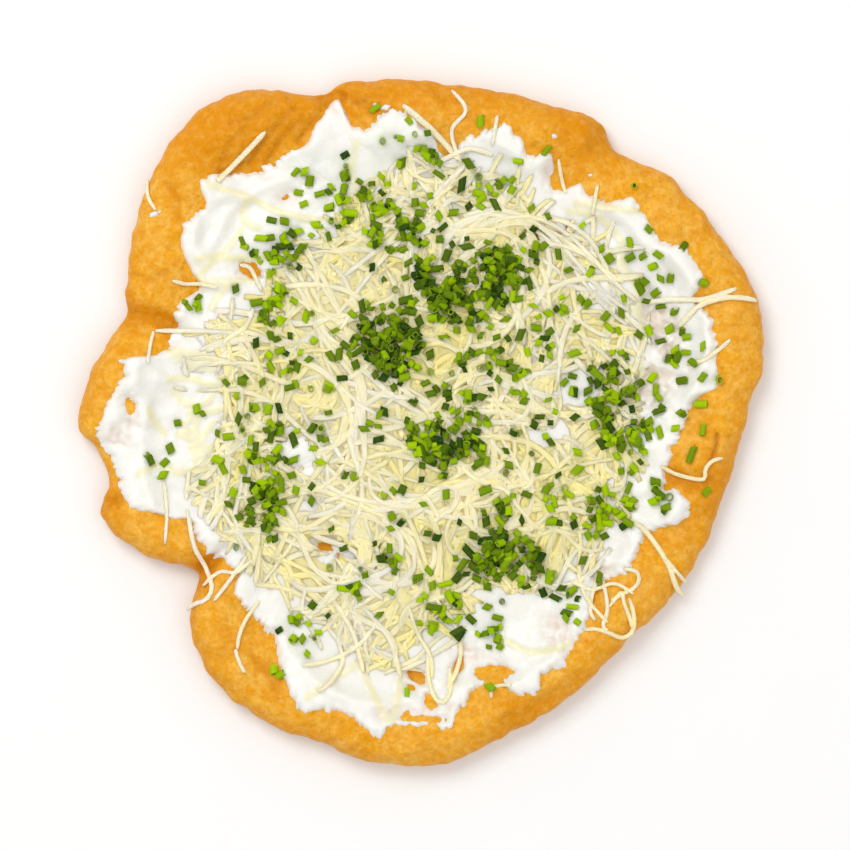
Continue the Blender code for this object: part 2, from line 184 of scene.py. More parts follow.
class Terrain:
    """Heights of what lies there so far, on an even grid."""

    reach = 128.0
    cell = 0.5

    def __init__(self) -> None:
        """Starts with a level floor."""
        axis = np.arange(-self.reach, self.reach + self.cell / 2, self.cell)
        self.x, self.y = np.meshgrid(axis, axis)
        self.z = np.zeros_like(self.x)
        self.crest = self.z

    def at(self, x: Array, y: Array, heights: Array | None = None) -> Array:
        """Heights at points, between the grid's own, of the ground or of other heights on its grid."""
        grid = self.z if heights is None else heights
        u = np.clip((np.asarray(x) + self.reach) / self.cell, 0, grid.shape[1] - 2)
        v = np.clip((np.asarray(y) + self.reach) / self.cell, 0, grid.shape[0] - 2)
        i, j = u.astype(int), v.astype(int)
        u, v = u - i, v - j
        low = grid[j, i] * (1 - u) + grid[j, i + 1] * u
        high = grid[j + 1, i] * (1 - u) + grid[j + 1, i + 1] * u
        return low * (1 - v) + high * v

    def raise_to(self, x: Array, y: Array, z: Array, crest: float = 0.0) -> None:
        """Lifts the ground under points to at least the given heights.

        Args:
            x, y: The points.
            z: The height that later things lie at.
            crest: How much higher what lies there really reaches.
        """
        i = np.clip(np.rint((x + self.reach) / self.cell).astype(int), 0, self.z.shape[1] - 1)
        j = np.clip(np.rint((y + self.reach) / self.cell).astype(int), 0, self.z.shape[0] - 1)
        np.maximum.at(self.z, (j, i), z)
        np.maximum.at(self.crest, (j, i), z + crest)

    def evened_crest(self, width: float) -> Array:
        """The crests, evened out over a width."""
        kernel = np.hanning(2 * round(width / self.cell) + 3)[1:-1]
        rows = np.apply_along_axis(np.convolve, 0, self.crest, kernel / kernel.sum(), "same")
        return np.apply_along_axis(np.convolve, 1, rows, kernel / kernel.sum(), "same")


# Meshes


def make_object(name: str, points: Array, faces: list, **marks: Array) -> bpy.types.Object:
    """Makes a smooth-shaded object from points in millimetres.

    Args:
        name: The piece's name.
        points: Its corners, one row each.
        faces: Lists of corner numbers.
        marks: Values for each corner, kept as attributes for the materials.

    Returns:
        The new object, at the origin.
    """
    mesh = bpy.data.meshes.new(name)
    mesh.from_pydata((points * MM).tolist(), [], faces)
    for mark, values in marks.items():
        mesh.attributes.new(mark, "FLOAT", "POINT").data.foreach_set("value", values.astype(np.float32))
    mesh.shade_smooth()
    made = bpy.data.objects.new(name, mesh)
    bpy.context.scene.collection.objects.link(made)
    return made


def closed_skin(name: str, rings: Array, top: float, bottom: float, **marks: Array) -> bpy.types.Object:
    """A closed skin over rings that run from the middle out over the top and back underneath.

    Args:
        name: The piece's name.
        rings: Points as (ring, bearing, coordinate).
        top, bottom: Heights of the two poles in the middle.
        marks: Values for each ring point, kept as attributes.

    Returns:
        The new object.
    """
    count, around, _ = rings.shape
    points = np.vstack([rings.reshape(-1, 3), [(0, 0, top), (0, 0, bottom)]])
    i = np.arange(around)
    k = np.roll(i, -1)
    starts = np.arange(count - 1)[:, None] * around
    quads = np.stack([starts + i, starts + around + i, starts + around + k, starts + k], -1).reshape(-1, 4)
    upper = np.stack([np.full(around, count * around), i, k], -1)
    last = (count - 1) * around
    lower = np.stack([np.full(around, count * around + 1), last + k, last + i], -1)
    filled = {m: np.append(v.ravel(), [v[0].mean(), v[-1].mean()]) for m, v in marks.items()}
    return make_object(name, points, quads.tolist() + upper.tolist() + lower.tolist(), **filled)


def on_rings(radii: Array, bearings: Array) -> tuple[Array, Array]:
    """The plan of rings, from their radii at each bearing."""
    angle = np.radians(bearings)[None, :]
    return radii * np.cos(angle), radii * np.sin(angle)


def bent_line(points: Pairs, count: int) -> Array:
    """A smooth line through points in the plan, in even steps."""
    knots = np.array([points[0], *points, points[-1]], float)
    fine = []
    for a, b, c, d in zip(knots, knots[1:], knots[2:], knots[3:]):
        t = np.linspace(0, 1, 12, endpoint=False)[:, None]
        bend, twist = 2 * a - 5 * b + 4 * c - d, 3 * b - a - 3 * c + d
        fine.append(0.5 * (2 * b + (c - a) * t + bend * t**2 + twist * t**3))
    fine = np.vstack([*fine, knots[-1:]])
    gone = np.append(0, np.cumsum(np.hypot(*np.diff(fine, axis=0).T)))
    even = np.linspace(0, gone[-1], count)
    return np.stack([np.interp(even, gone, fine[:, 0]), np.interp(even, gone, fine[:, 1])], 1)


# Shader groups and finishes


class Recipe:
    """Adds nodes to a node tree, with links, in one call each."""

    def __init__(self, tree: bpy.types.NodeTree) -> None:
        """Works on the given tree."""
        self.tree = tree

    def add(self, kind: str, settings: dict | None = None, **inputs: object) -> bpy.types.Node:
        """Adds a node.

        Args:
            kind: The node's type.
            settings: Its own properties.
            inputs: Values or sockets for its inputs, by name with _ for a space, or i0, i1 by place.

        Returns:
            The node.
        """
        node = self.tree.nodes.new(kind)
        for key, value in (settings or {}).items():
            setattr(node, key, value)
        for key, value in inputs.items():
            by_place = key[0] == "i" and key[1:].isdigit()
            socket = node.inputs[int(key[1:]) if by_place else key.replace("_", " ")]
            if isinstance(value, bpy.types.NodeSocket):
                self.tree.links.new(value, socket)
            else:
                socket.default_value = value
        return node

    def mix(self, factor: object, first: object, second: object) -> bpy.types.NodeSocket:
        """Mixes two colours, given as sockets or as red, green and blue."""
        first, second = (c if isinstance(c, bpy.types.NodeSocket) else (*c, 1.0) for c in (first, second))
        return self.add("ShaderNodeMix", {"data_type": "RGBA"}, i0=factor, i6=first, i7=second).outputs[2]

    def tint(self, colour: object, other: Colour, mask: object, share: float) -> bpy.types.NodeSocket:
        """Mixes a share of another colour in where a mask says."""
        return self.mix(self.sum("MULTIPLY", mask, share), colour, other)

    def sum(self, kind: str, first: object, second: object, clamp: bool = False) -> bpy.types.NodeSocket:
        """One of the Math node's sums, kept from 0 to 1 if asked."""
        return self.add("ShaderNodeMath", {"operation": kind, "use_clamp": clamp}, i0=first, i1=second).outputs[0]

    def mark(self, name: str) -> bpy.types.NodeSocket:
        """The value that the mesh keeps under a name."""
        return self.add("ShaderNodeAttribute", {"attribute_name": name}).outputs["Fac"]

    def group(self, tree: bpy.types.NodeTree, **inputs: object) -> bpy.types.NodeSocket:
        """Places a node group. Returns its first output."""
        return self.add("ShaderNodeGroup", {"node_tree": tree}, **inputs).outputs[0]


def new_group(name: str, inputs: dict[str, float], output: str) -> tuple[Recipe, bpy.types.Node, bpy.types.Node]:
    """Starts a node group with number inputs and one number output.

    Args:
        name: The group's name.
        inputs: Each input's name and usual value.
        output: The output's name.

    Returns:
        Its recipe, its input node and its output node.
    """
    tree = bpy.data.node_groups.new(name, "ShaderNodeTree")
    for key, value in inputs.items():
        tree.interface.new_socket(key, in_out="INPUT", socket_type="NodeSocketFloat").default_value = value
    tree.interface.new_socket(output, in_out="OUTPUT", socket_type="NodeSocketFloat")
    recipe = Recipe(tree)
    return recipe, recipe.add("NodeGroupInput"), recipe.add("NodeGroupOutput")


def mottle_group() -> bpy.types.NodeTree:
    """Soft blotches of a given width in metres, as a mask from 0 to 1."""
    recipe, given, out = new_group("mottle", {"Width": 0.005, "Detail": 3.0, "Contrast": 2.0}, "Mask")
    place = recipe.add("ShaderNodeTexCoord").outputs["Object"]
    scale = recipe.sum("DIVIDE", 1.0, given.outputs["Width"])
    cloud = recipe.add("ShaderNodeTexNoise", Vector=place, Scale=scale, Detail=given.outputs["Detail"])
    middle = recipe.sum("SUBTRACT", cloud.outputs["Fac"], 0.5)
    spread = recipe.sum("MULTIPLY", middle, given.outputs["Contrast"])
    recipe.tree.links.new(recipe.sum("ADD", spread, 0.5, clamp=True), out.inputs["Mask"])
    return recipe.tree


def pore_group() -> bpy.types.NodeTree:
    """Scattered small pits, as a mask that is 1 in their middles."""
    recipe, given, out = new_group("pores", {"Width": 0.003, "Size": 0.2}, "Mask")
    place = recipe.add("ShaderNodeTexCoord").outputs["Object"]
    scale = recipe.sum("DIVIDE", 1.0, given.outputs["Width"])
    cells = recipe.add("ShaderNodeTexVoronoi", {"feature": "F1"}, Vector=place, Scale=scale, Randomness=1.0)
    share = recipe.sum("DIVIDE", cells.outputs["Distance"], given.outputs["Size"])
    recipe.tree.links.new(recipe.sum("SUBTRACT", 1.0, share, clamp=True), out.inputs["Mask"])
    return recipe.tree


@dataclass(frozen=True)
class Finish:
    """What every finish here has in common: a moist surface with soft light inside it."""

    name: str
    roughness: float
    shine: float = 0.5
    glow: float = 0.0
    glow_depth: Colour = (0.003, 0.002, 0.001)
    spread: str = "RANDOM_WALK"

    def start(self) -> tuple[Recipe, bpy.types.Node]:
        """Starts the material. Returns its recipe and its shader."""
        material = bpy.data.materials.new(self.name)
        material.use_nodes = True
        shader = material.node_tree.nodes["Principled BSDF"]
        shader.inputs["Roughness"].default_value = self.roughness
        shader.inputs["Specular IOR Level"].default_value = self.shine
        shader.inputs["Subsurface Weight"].default_value = self.glow
        shader.inputs["Subsurface Radius"].default_value = self.glow_depth
        shader.inputs["Subsurface Scale"].default_value = 1.0
        shader.subsurface_method = self.spread
        return Recipe(material.node_tree), shader

    def finish(self, recipe: Recipe, shader: bpy.types.Node, colour: object, bumps: list) -> bpy.types.Material:
        """Links the colour and the bumps, each (height socket, depth in metres).

        Returns:
            The material.
        """
        recipe.tree.links.new(colour, shader.inputs["Base Color"])
        normal = None
        for height, depth in bumps:
            before = {"Normal": normal} if normal else {}
            normal = recipe.add("ShaderNodeBump", Height=height, Distance=depth, Strength=1.0, **before).outputs[0]
        recipe.tree.links.new(normal, shader.inputs["Normal"])
        return next(m for m in bpy.data.materials if m.node_tree == recipe.tree)


@dataclass(frozen=True)
class CrustFinish(Finish):
    """Fried dough: golden, darker at its edge, with painted shade in its creases, hollows and the cream's holes and
    painted light on its bubbles.
    """

    gold: Colour = (0.90, 0.42, 0.006)
    pale: Colour = (0.95, 0.565, 0.11)
    deep: Colour = (0.76, 0.285, 0.001)
    burnt: Colour = (0.33, 0.10, 0.008)

    def make(self, mottle: bpy.types.NodeTree, pores: bpy.types.NodeTree) -> bpy.types.Material:
        """Builds the material from the shared groups."""
        recipe, shader = self.start()
        fried = recipe.mark("fried")
        broad = recipe.group(mottle, Width=0.011, Detail=3.0, Contrast=3.0)
        fine = recipe.group(mottle, Width=0.0045, Detail=5.0, Contrast=3.6)
        grain = recipe.group(mottle, Width=0.0012, Detail=3.0, Contrast=3.0)
        flecks = recipe.sum("POWER", recipe.group(mottle, Width=0.0026, Detail=5.0, Contrast=3.6), 2.0)
        pits = recipe.group(pores, Width=0.0042, Size=0.13)
        colour = recipe.tint(self.gold, self.pale, broad, 0.5)
        colour = recipe.tint(colour, self.deep, fine, 0.6)
        colour = recipe.tint(colour, self.deep, grain, 0.4)
        colour = recipe.tint(colour, self.pale, flecks, 0.4)
        # browning, with painted shade in hollows, creases and the cream's holes and painted light on bubbles
        colour = recipe.mix(fried, colour, self.deep)
        colour = recipe.tint(colour, self.pale, flecks, 0.25)
        colour = recipe.tint(colour, self.burnt, grain, 0.13)
        colour = recipe.tint(colour, self.burnt, pits, 0.35)
        # scorch marks, with painted shade in the creases, the torn crease and under the cream
        colour = recipe.mix(recipe.mark("burnt"), colour, self.burnt)
        dull = recipe.add("ShaderNodeMapRange", Value=fine, To_Min=self.roughness - 0.1, To_Max=self.roughness + 0.12)
        recipe.tree.links.new(dull.outputs[0], shader.inputs["Roughness"])
        return self.finish(recipe, shader, colour, [(fine, 0.00045), (grain, 0.00012), (pits, -0.00015)])


@dataclass(frozen=True)
class CreamFinish(Finish):
    """Soured cream: white, moist, and faintly pink where it is only a smear."""

    body: Colour = (0.92, 0.905, 0.855)
    shade: Colour = (0.89, 0.87, 0.80)
    smear: Colour = (0.85, 0.71, 0.61)
    shred: Colour = (0.87, 0.82, 0.55)

    def make(self, mottle: bpy.types.NodeTree) -> bpy.types.Material:
        """Builds the material from the shared group."""
        recipe, shader = self.start()
        broad = recipe.group(mottle, Width=0.008, Detail=2.0, Contrast=2.0)
        fine = recipe.group(mottle, Width=0.0011, Detail=3.0, Contrast=1.6)
        colour = recipe.mix(broad, self.body, self.shade)
        colour = recipe.mix(recipe.mark("thin"), colour, self.smear)
        colour = recipe.tint(colour, self.shred, recipe.mark("veil"), 0.95)
        return self.finish(recipe, shader, colour, [(broad, 0.0005), (fine, 0.00012)])


@dataclass(frozen=True)
class CheeseFinish(Finish):
    """Young cheese: ivory on top of the heap and pale yellow deeper in it, where the yellow is painted shade warmed by
    light through the cheese.
    """

    ivory: Colour = (0.83, 0.79, 0.665)
    butter: Colour = (0.88, 0.765, 0.27)

    def make(self, mottle: bpy.types.NodeTree) -> bpy.types.Material:
        """Builds the material from the shared group."""
        recipe, shader = self.start()
        broad = recipe.group(mottle, Width=0.03, Detail=2.0, Contrast=2.5)
        fine = recipe.group(mottle, Width=0.0012, Detail=3.0, Contrast=1.6)
        cloudy = recipe.sum("MULTIPLY", broad, 0.35)
        tone = recipe.sum("ADD", recipe.sum("MULTIPLY", recipe.mark("tone"), 0.8), cloudy)
        colour = recipe.mix(tone, self.ivory, self.butter)
        return self.finish(recipe, shader, colour, [(fine, 0.00018)])


@dataclass(frozen=True)
class ChiveFinish(Finish):
    """Cut chives: fresh green, from yellow-green to dark, with pale cut ends; the dark end also serves as painted
    shade low in the heaps.
    """

    dark: Colour = (0.002, 0.030, 0.005)
    light: Colour = (0.36, 0.56, 0.0005)
    cut: Colour = (0.40, 0.56, 0.05)

    def make(self, mottle: bpy.types.NodeTree) -> bpy.types.Material:
        """Builds the material from the shared group."""
        recipe, shader = self.start()
        fine = recipe.group(mottle, Width=0.0010, Detail=2.0, Contrast=1.8)
        colour = recipe.mix(recipe.mark("tone"), self.dark, self.light)
        colour = recipe.tint(colour, self.light, fine, 0.12)
        colour = recipe.mix(recipe.mark("cut"), colour, self.cut)
        return self.finish(recipe, shader, colour, [(fine, 0.0001)])


@dataclass(frozen=True)
class FloorFinish(Finish):
    """A plain pale floor."""

    white: Colour = (0.93, 0.93, 0.93)
    grey: Colour = (0.91, 0.91, 0.91)

    def make(self, mottle: bpy.types.NodeTree) -> bpy.types.Material:
        """Builds the material from the shared group."""
        recipe, shader = self.start()
        broad = recipe.group(mottle, Width=0.05, Detail=2.0, Contrast=1.0)
        return self.finish(recipe, shader, recipe.mix(broad, self.white, self.grey), [(broad, 0.00002)])


# The fried dough


@dataclass(frozen=True)
class Crease:
    """A fold in the dough, along a bent line."""

    line: Pairs
    depth: float
    width: float
    # darkening beside the fold, in both colour marks: painted shade in the fold
    fried: float = 0.8


@dataclass
class Dough:
    """The flatbread itself: a puffed rim round a lower floor, fried golden."""

    outline: Outline = Outline(
        (
            (2, 115), (10, 122), (22, 126), (31, 124), (44, 123), (54, 117), (60, 123), (68, 120.5), (84, 119),
            (97, 121), (103, 122), (106, 120), (116, 130), (124, 134), (134, 130), (145, 122), (157, 112),
            (160, 110), (170, 116), (181, 120), (184, 114), (190, 111), (196, 116), (205, 108), (214, 94),
            (221, 107), (234, 116.5), (246, 118), (252, 117), (262, 120), (273, 120), (284, 114), (300, 109),
            (313, 105.5), (330, 108), (346, 109),
        )
    )  # fmt: skip
    swells: tuple[tuple[float, float, float], ...] = (
        (18, 16, 1.6), (57, 7, -2.2), (66, 10, 1.8), (90, 12, 2.0), (105.5, 4, -3.8), (123, 14, 1.8),
        (150, 8, -1.0), (160, 5, -3.0), (172, 9, 0.8), (187, 7, -3.2), (203, 9, 1.2), (214, 5, -4.2),
        (232, 14, 1.4), (262, 14, 2.2), (300, 12, 0.6), (332, 12, -1.6),
    )  # fmt: skip
    creases: tuple[Crease, ...] = each(
        Crease,
        (((-41, 118), (-34, 114.5), (-27, 114)), 2.6, 2.0), (((-33, 112), (-30, 106), (-29, 100)), 1.3, 2.4),
        (((68, 108), (63, 102), (60, 96)), 1.4, 2.6), (((-104, 39), (-94, 37.5), (-84, 33), (-80, 30)), 2.4, 2.8),
        (((-113, -30), (-106, -27)), 1.8, 2.0), (((-79, -55), (-73, -49), (-69, -44)), 2.6, 2.4),
        (((103.5, -4), (103, -9), (101, -14)), 0.9, 0.7), (((88, -18), (95, -21), (101, -20)), 1.5, 3.0),
        (((-60, -80), (-54, -86), (-50, -93)), 0.8, 1.6, 0.4), (((30, -104), (44, -96), (56, -88)), 0.7, 2.4, 0.3),
        (((-44, 110), (-53, 100), (-60, 91)), 1.0, 1.1, 0.9), (((-41, 106), (-48, 100), (-54, 91)), 0.9, 0.9, 0.9),
        (((-35, 109), (-39, 103), (-43, 98)), 0.9, 0.9, 0.8), (((-60, 104), (-67, 96), (-70, 88)), 0.7, 1.1, 0.6),
        (((-24, 118), (-20, 111), (-10, 108)), 0.5, 1.4, 0.4), (((-50, 113), (-59, 106), (-66, 104)), 0.7, 0.9, 0.7),
        (((-56, 99), (-62, 92), (-64, 89)), 0.7, 0.8, 0.7), (((-30, 116), (-24, 113), (-14, 114)), 0.6, 0.9, 0.6),
        (((-89, 84), (-84, 78), (-84, 70)), 0.5, 1.0, 0.4), (((-100, 52), (-93, 50), (-88, 53)), 0.5, 1.0, 0.5),
        (((2, 118), (8, 112), (18, 113)), 0.5, 1.4, 0.3),
    )  # fmt: skip
    browned: tuple[Patch, ...] = each(
        Patch,
        (-60, 104, 28, 12, 32, 0.85), (58, 102, 16, 6, -32, 0.5), (0, 116, 26, 5, 0, 0.35),
        (104, -28, 6, 16, -14, 0.4),
    )  # fmt: skip
    scorched: tuple[Patch, ...] = each(
        Patch,
        (-21, 112, 2.4, 1.0, 10, 0.8), (-62.5, 53, 1.6, 2.2, 0, 0.8), (-44, -15, 2.6, 1.2, 0, 0.6),
        (-31, -46, 3.2, 1.0, -20, 0.8), (-22, -46, 2.0, 1.0, -20, 0.9), (40, 22, 1.5, 2, 0, 0.5),
        (52, 68, 1.5, 2, 0, 0.6), (-3, -90, 2, 1, -39, 0.3),
    )  # fmt: skip
    rim_height: float = 14.5
    floor_height: float = 8.0
    edge_share: float = 0.42
    crown_inset: float = 11.0
    slope_run: float = 24.0
    underside_inset: float = 9.0
    bearings: int = 900
    bubbles: int = 110
    relief: Pairs = ((31.0, 1.5), (13.0, 0.8))
    ripples: Pairs = ((6.0, 0.75), (2.6, 0.24))
    blisters: Pairs = ((14.0, 0.7), (5.0, 0.35))
    edge_wander: Pairs = ((7.0, 1.0), (3.0, 0.4))
    blotches: Pairs = ((21.0, 0.6), (8.0, 0.4))
    band: float = 42.0  # along the outline, where the rings lie close
    under_band: float = 14.0  # the same on the underside
    knot: tuple[float, float] = (59, 105)  # a darker spot in the rim
    crack: int = 6  # which of the creases has torn open, its inside painted shade
    seed: int = 5
    _domes: Array = field(init=False)

    def __post_init__(self) -> None:
        """Spreads the bubbles of the rim: (x, y, radius, height)."""
        draw = np.random.default_rng(self.seed)
        bearing = np.arange(self.bubbles) * GOLDEN_ANGLE + draw.uniform(-9, 9, self.bubbles)
        radius = draw.uniform(2.5, 7.5, self.bubbles)
        out = self.outline.reach(bearing) - radius - draw.uniform(0, 22, self.bubbles)
        angle = np.radians(bearing)
        height = radius * draw.uniform(0.07, 0.16, self.bubbles)
        self._domes = np.stack([out * np.cos(angle), out * np.sin(angle), radius, height], 1)

    def rim(self, bearing: Array) -> Array:
        """Height of the rim."""
        return self.rim_height + sum(h * bell(turn_between(bearing, at), half) for at, half, h in self.swells)

    def base_top(self, x: Array, y: Array) -> Array:
        """The upper side's main form, as in the part's source."""
        bearing = bearing_of(x, y)
        inset = np.maximum(0, self.outline.inset(x, y))
        rim = self.rim(bearing)
        edge = self.edge_share * rim
        rise = np.sqrt(1 - (1 - np.minimum(inset / self.crown_inset, 1)) ** 2)
        fall = smooth((inset - self.crown_inset) / self.slope_run)
        height = edge + (rim - edge) * rise + (self.floor_height - rim) * fall
        return height + waves(x, y, *self.relief) * smooth(inset / 5)

    def top(self, x: Array, y: Array) -> Array:
        """The upper side with its bubbles and folds."""
        inset = np.maximum(0, self.outline.inset(x, y))
        near_rim = 1 - smooth((inset - 30) / 20)
        height = self.base_top(x, y) + smooth(inset / 3) * near_rim * waves(x, y, *self.ripples)
        for dome_x, dome_y, radius, rise in self._domes:
            height += rise * smooth(1 - np.hypot(x - dome_x, y - dome_y) / radius)
        for crease in self.creases:
            height -= crease.depth * bell(along_line(x, y, crease.line), crease.width) * smooth(inset / 2.5 + 0.3)
        return height

    def underside(self, x: Array, y: Array, inset: Array) -> Array:
        """The lower side: it curls up at the rim, and elsewhere rests on its blisters."""
        share = np.minimum(1, inset / self.underside_inset)
        curl = self.edge_share * self.rim(bearing_of(x, y)) * (1 - np.sqrt(1 - (1 - share) ** 2))
        blisters = 0.35 + waves(x, y, *self.blisters)
        return curl + smooth(inset / 6) * np.clip(blisters, 0, 1.1)

    def build(self, material: bpy.types.Material) -> bpy.types.Object:
        """Builds the bread and dresses it.

        Args:
            material: The crust's finish.

        Returns:
            The piece.
        """
        bearings = 360 * np.arange(self.bearings) / self.bearings
        reach = self.outline.reach(bearings)
        x, y = on_rings(reach[None, :], bearings)
        wander = waves(x, y, *self.edge_wander)[0]
        down = np.array([0, 0.08, 0.28, 0.6, 1.0, 1.5])
        rim_insets = np.concatenate([down, np.arange(2.2, self.band, 0.9)])
        inner = (reach - self.band)[None, :] * np.array([0.1, 0.25, 0.42, 0.6, 0.78, 0.92])[:, None]
        shift = wander[None, :] * bell(rim_insets[:, None], 5.0)
        outer = (reach[None, :] - rim_insets[:, None])[::-1]
        x, y = on_rings(np.vstack([inner, outer]), bearings)
        z = self.top(x, y)
        # browning and scorch marks, with painted shade in hollows, creases and the cream's holes and painted light on
        # bubbles
        fried, burnt = self.browning_and_shade(x, y, z)
        x, y = on_rings(np.vstack([inner, outer + shift[::-1]]), bearings)
        upper = np.stack([x, y, z], -1)

        under_insets = np.concatenate([down[1:], np.arange(2.2, self.under_band, 1.1)])
        shift = wander[None, :] * bell(under_insets[:, None], 5.0)
        outer = reach[None, :] - under_insets[:, None]
        inner = (reach - self.under_band)[None, :] * np.linspace(0.97, 0.04, 26)[:, None]
        insets = np.vstack([np.repeat(under_insets[:, None], len(bearings), 1), reach[None, :] - inner])
        x, y = on_rings(np.vstack([outer + shift, inner]), bearings)
        lower_z = self.underside(x, y, insets)
        lower = np.stack([x, y, lower_z], -1)
        under_fried = 0.35 + 0.9 * np.clip(0.5 - lower_z / 1.2, -0.3, 0.5) + 0.5 * bell(insets, 3.0)
        fried = np.vstack([fried, np.clip(under_fried, 0, 1)])
        burnt = np.vstack([burnt, 0.5 * np.clip(waves(x, y, (9.0, 1.0)) - 0.45, 0, 1) * smooth(insets / 12)])
        skin = closed_skin("fried_dough", np.vstack([upper, lower]), z[0].mean(), 0.3, fried=fried, burnt=burnt)
        skin.data.materials.append(material)
        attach(skin, BODY)
        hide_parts("flatbread")
        return skin

    def browning_and_shade(self, x: Array, y: Array, z: Array) -> tuple[Array, Array]:
        """How deeply each place is browned, with painted shade in its hollows, creases and the cream's holes and
        painted light on its bubbles.

        Args:
            x, y: The plan.
            z: The upper side's heights there.

        Returns:
            Shares of the deep colour, for browning with painted shade and light, and of the dark brown one, for scorch
            marks with painted shade in the folds and the crack.
        """
        inset = np.maximum(0, self.outline.inset(x, y))
        # painted shade in hollows below the main form and painted light on the bubbles above it
        hollow = np.clip((self.base_top(x, y) - z) * 0.5, -0.3, 0.6)
        # deep colour under the cream, which shows as painted shade where the crust shows through the cream's holes
        covered = smooth((inset - 26) / 8)
        # deeper colour at the outer edge and in random blotches
        fried = 0.02 + 0.45 * bell(inset, 4.0) + 0.6 * covered + hollow + waves(x, y, *self.blotches)
        # the dark brown share starts with painted shade under the cream
        folds = 0.12 * covered
        for patch in self.browned:
            fried += patch.weight * smooth(0.5 - patch.outside(x, y) / 14)
        # painted shade along each crease, in both shares
        for crease in self.creases:
            beside = along_line(x, y, crease.line)
            fried += crease.fried * bell(beside, crease.width * 2.2)
            folds = np.maximum(folds, 0.24 * crease.fried * bell(beside, crease.width))
        # a darker spot round the knot, and darker towards the +Y edge
        beside = np.hypot(x - self.knot[0], y - self.knot[1]) - 3
        fried += 0.7 * bell(np.maximum(0, beside), 4) + 0.5 * smooth((y - 96) / 14)
        burnt = np.zeros_like(x)
        for spot in self.scorched:
            burnt = np.maximum(burnt, spot.weight * smooth(0.5 - spot.outside(x, y) / 1.2))
        burnt *= 0.6 + waves(x, y, (1.6, 0.9))
        # painted shade inside the torn crease
        cracks = bell(along_line(x, y, self.creases[self.crack].line), 0.7)
        return np.clip(fried, 0, 1), np.clip(np.maximum(np.maximum(burnt, folds), 0.6 * cracks), 0, 1)


# The soured cream


@dataclass(frozen=True)
class Stroke:
    """A ridge that the spoon left along an arc, with a groove on its inner side."""

    x: float
    y: float
    radius: float
    first: float
    last: float
    height: float

    def at(self, x: Array, y: Array) -> Array:
        """Its height at points."""
        off = np.hypot(x - self.x, y - self.y) - self.radius
        turn = np.abs(turn_between(bearing_of(x - self.x, y - self.y), (self.first + self.last) / 2))
        ends = smooth(((self.last - self.first) / 2 - turn) / 12 + 0.5)
        return self.height * ends * (bell(off, 2.2) - 0.6 * bell(off + 5.0, 3.6))


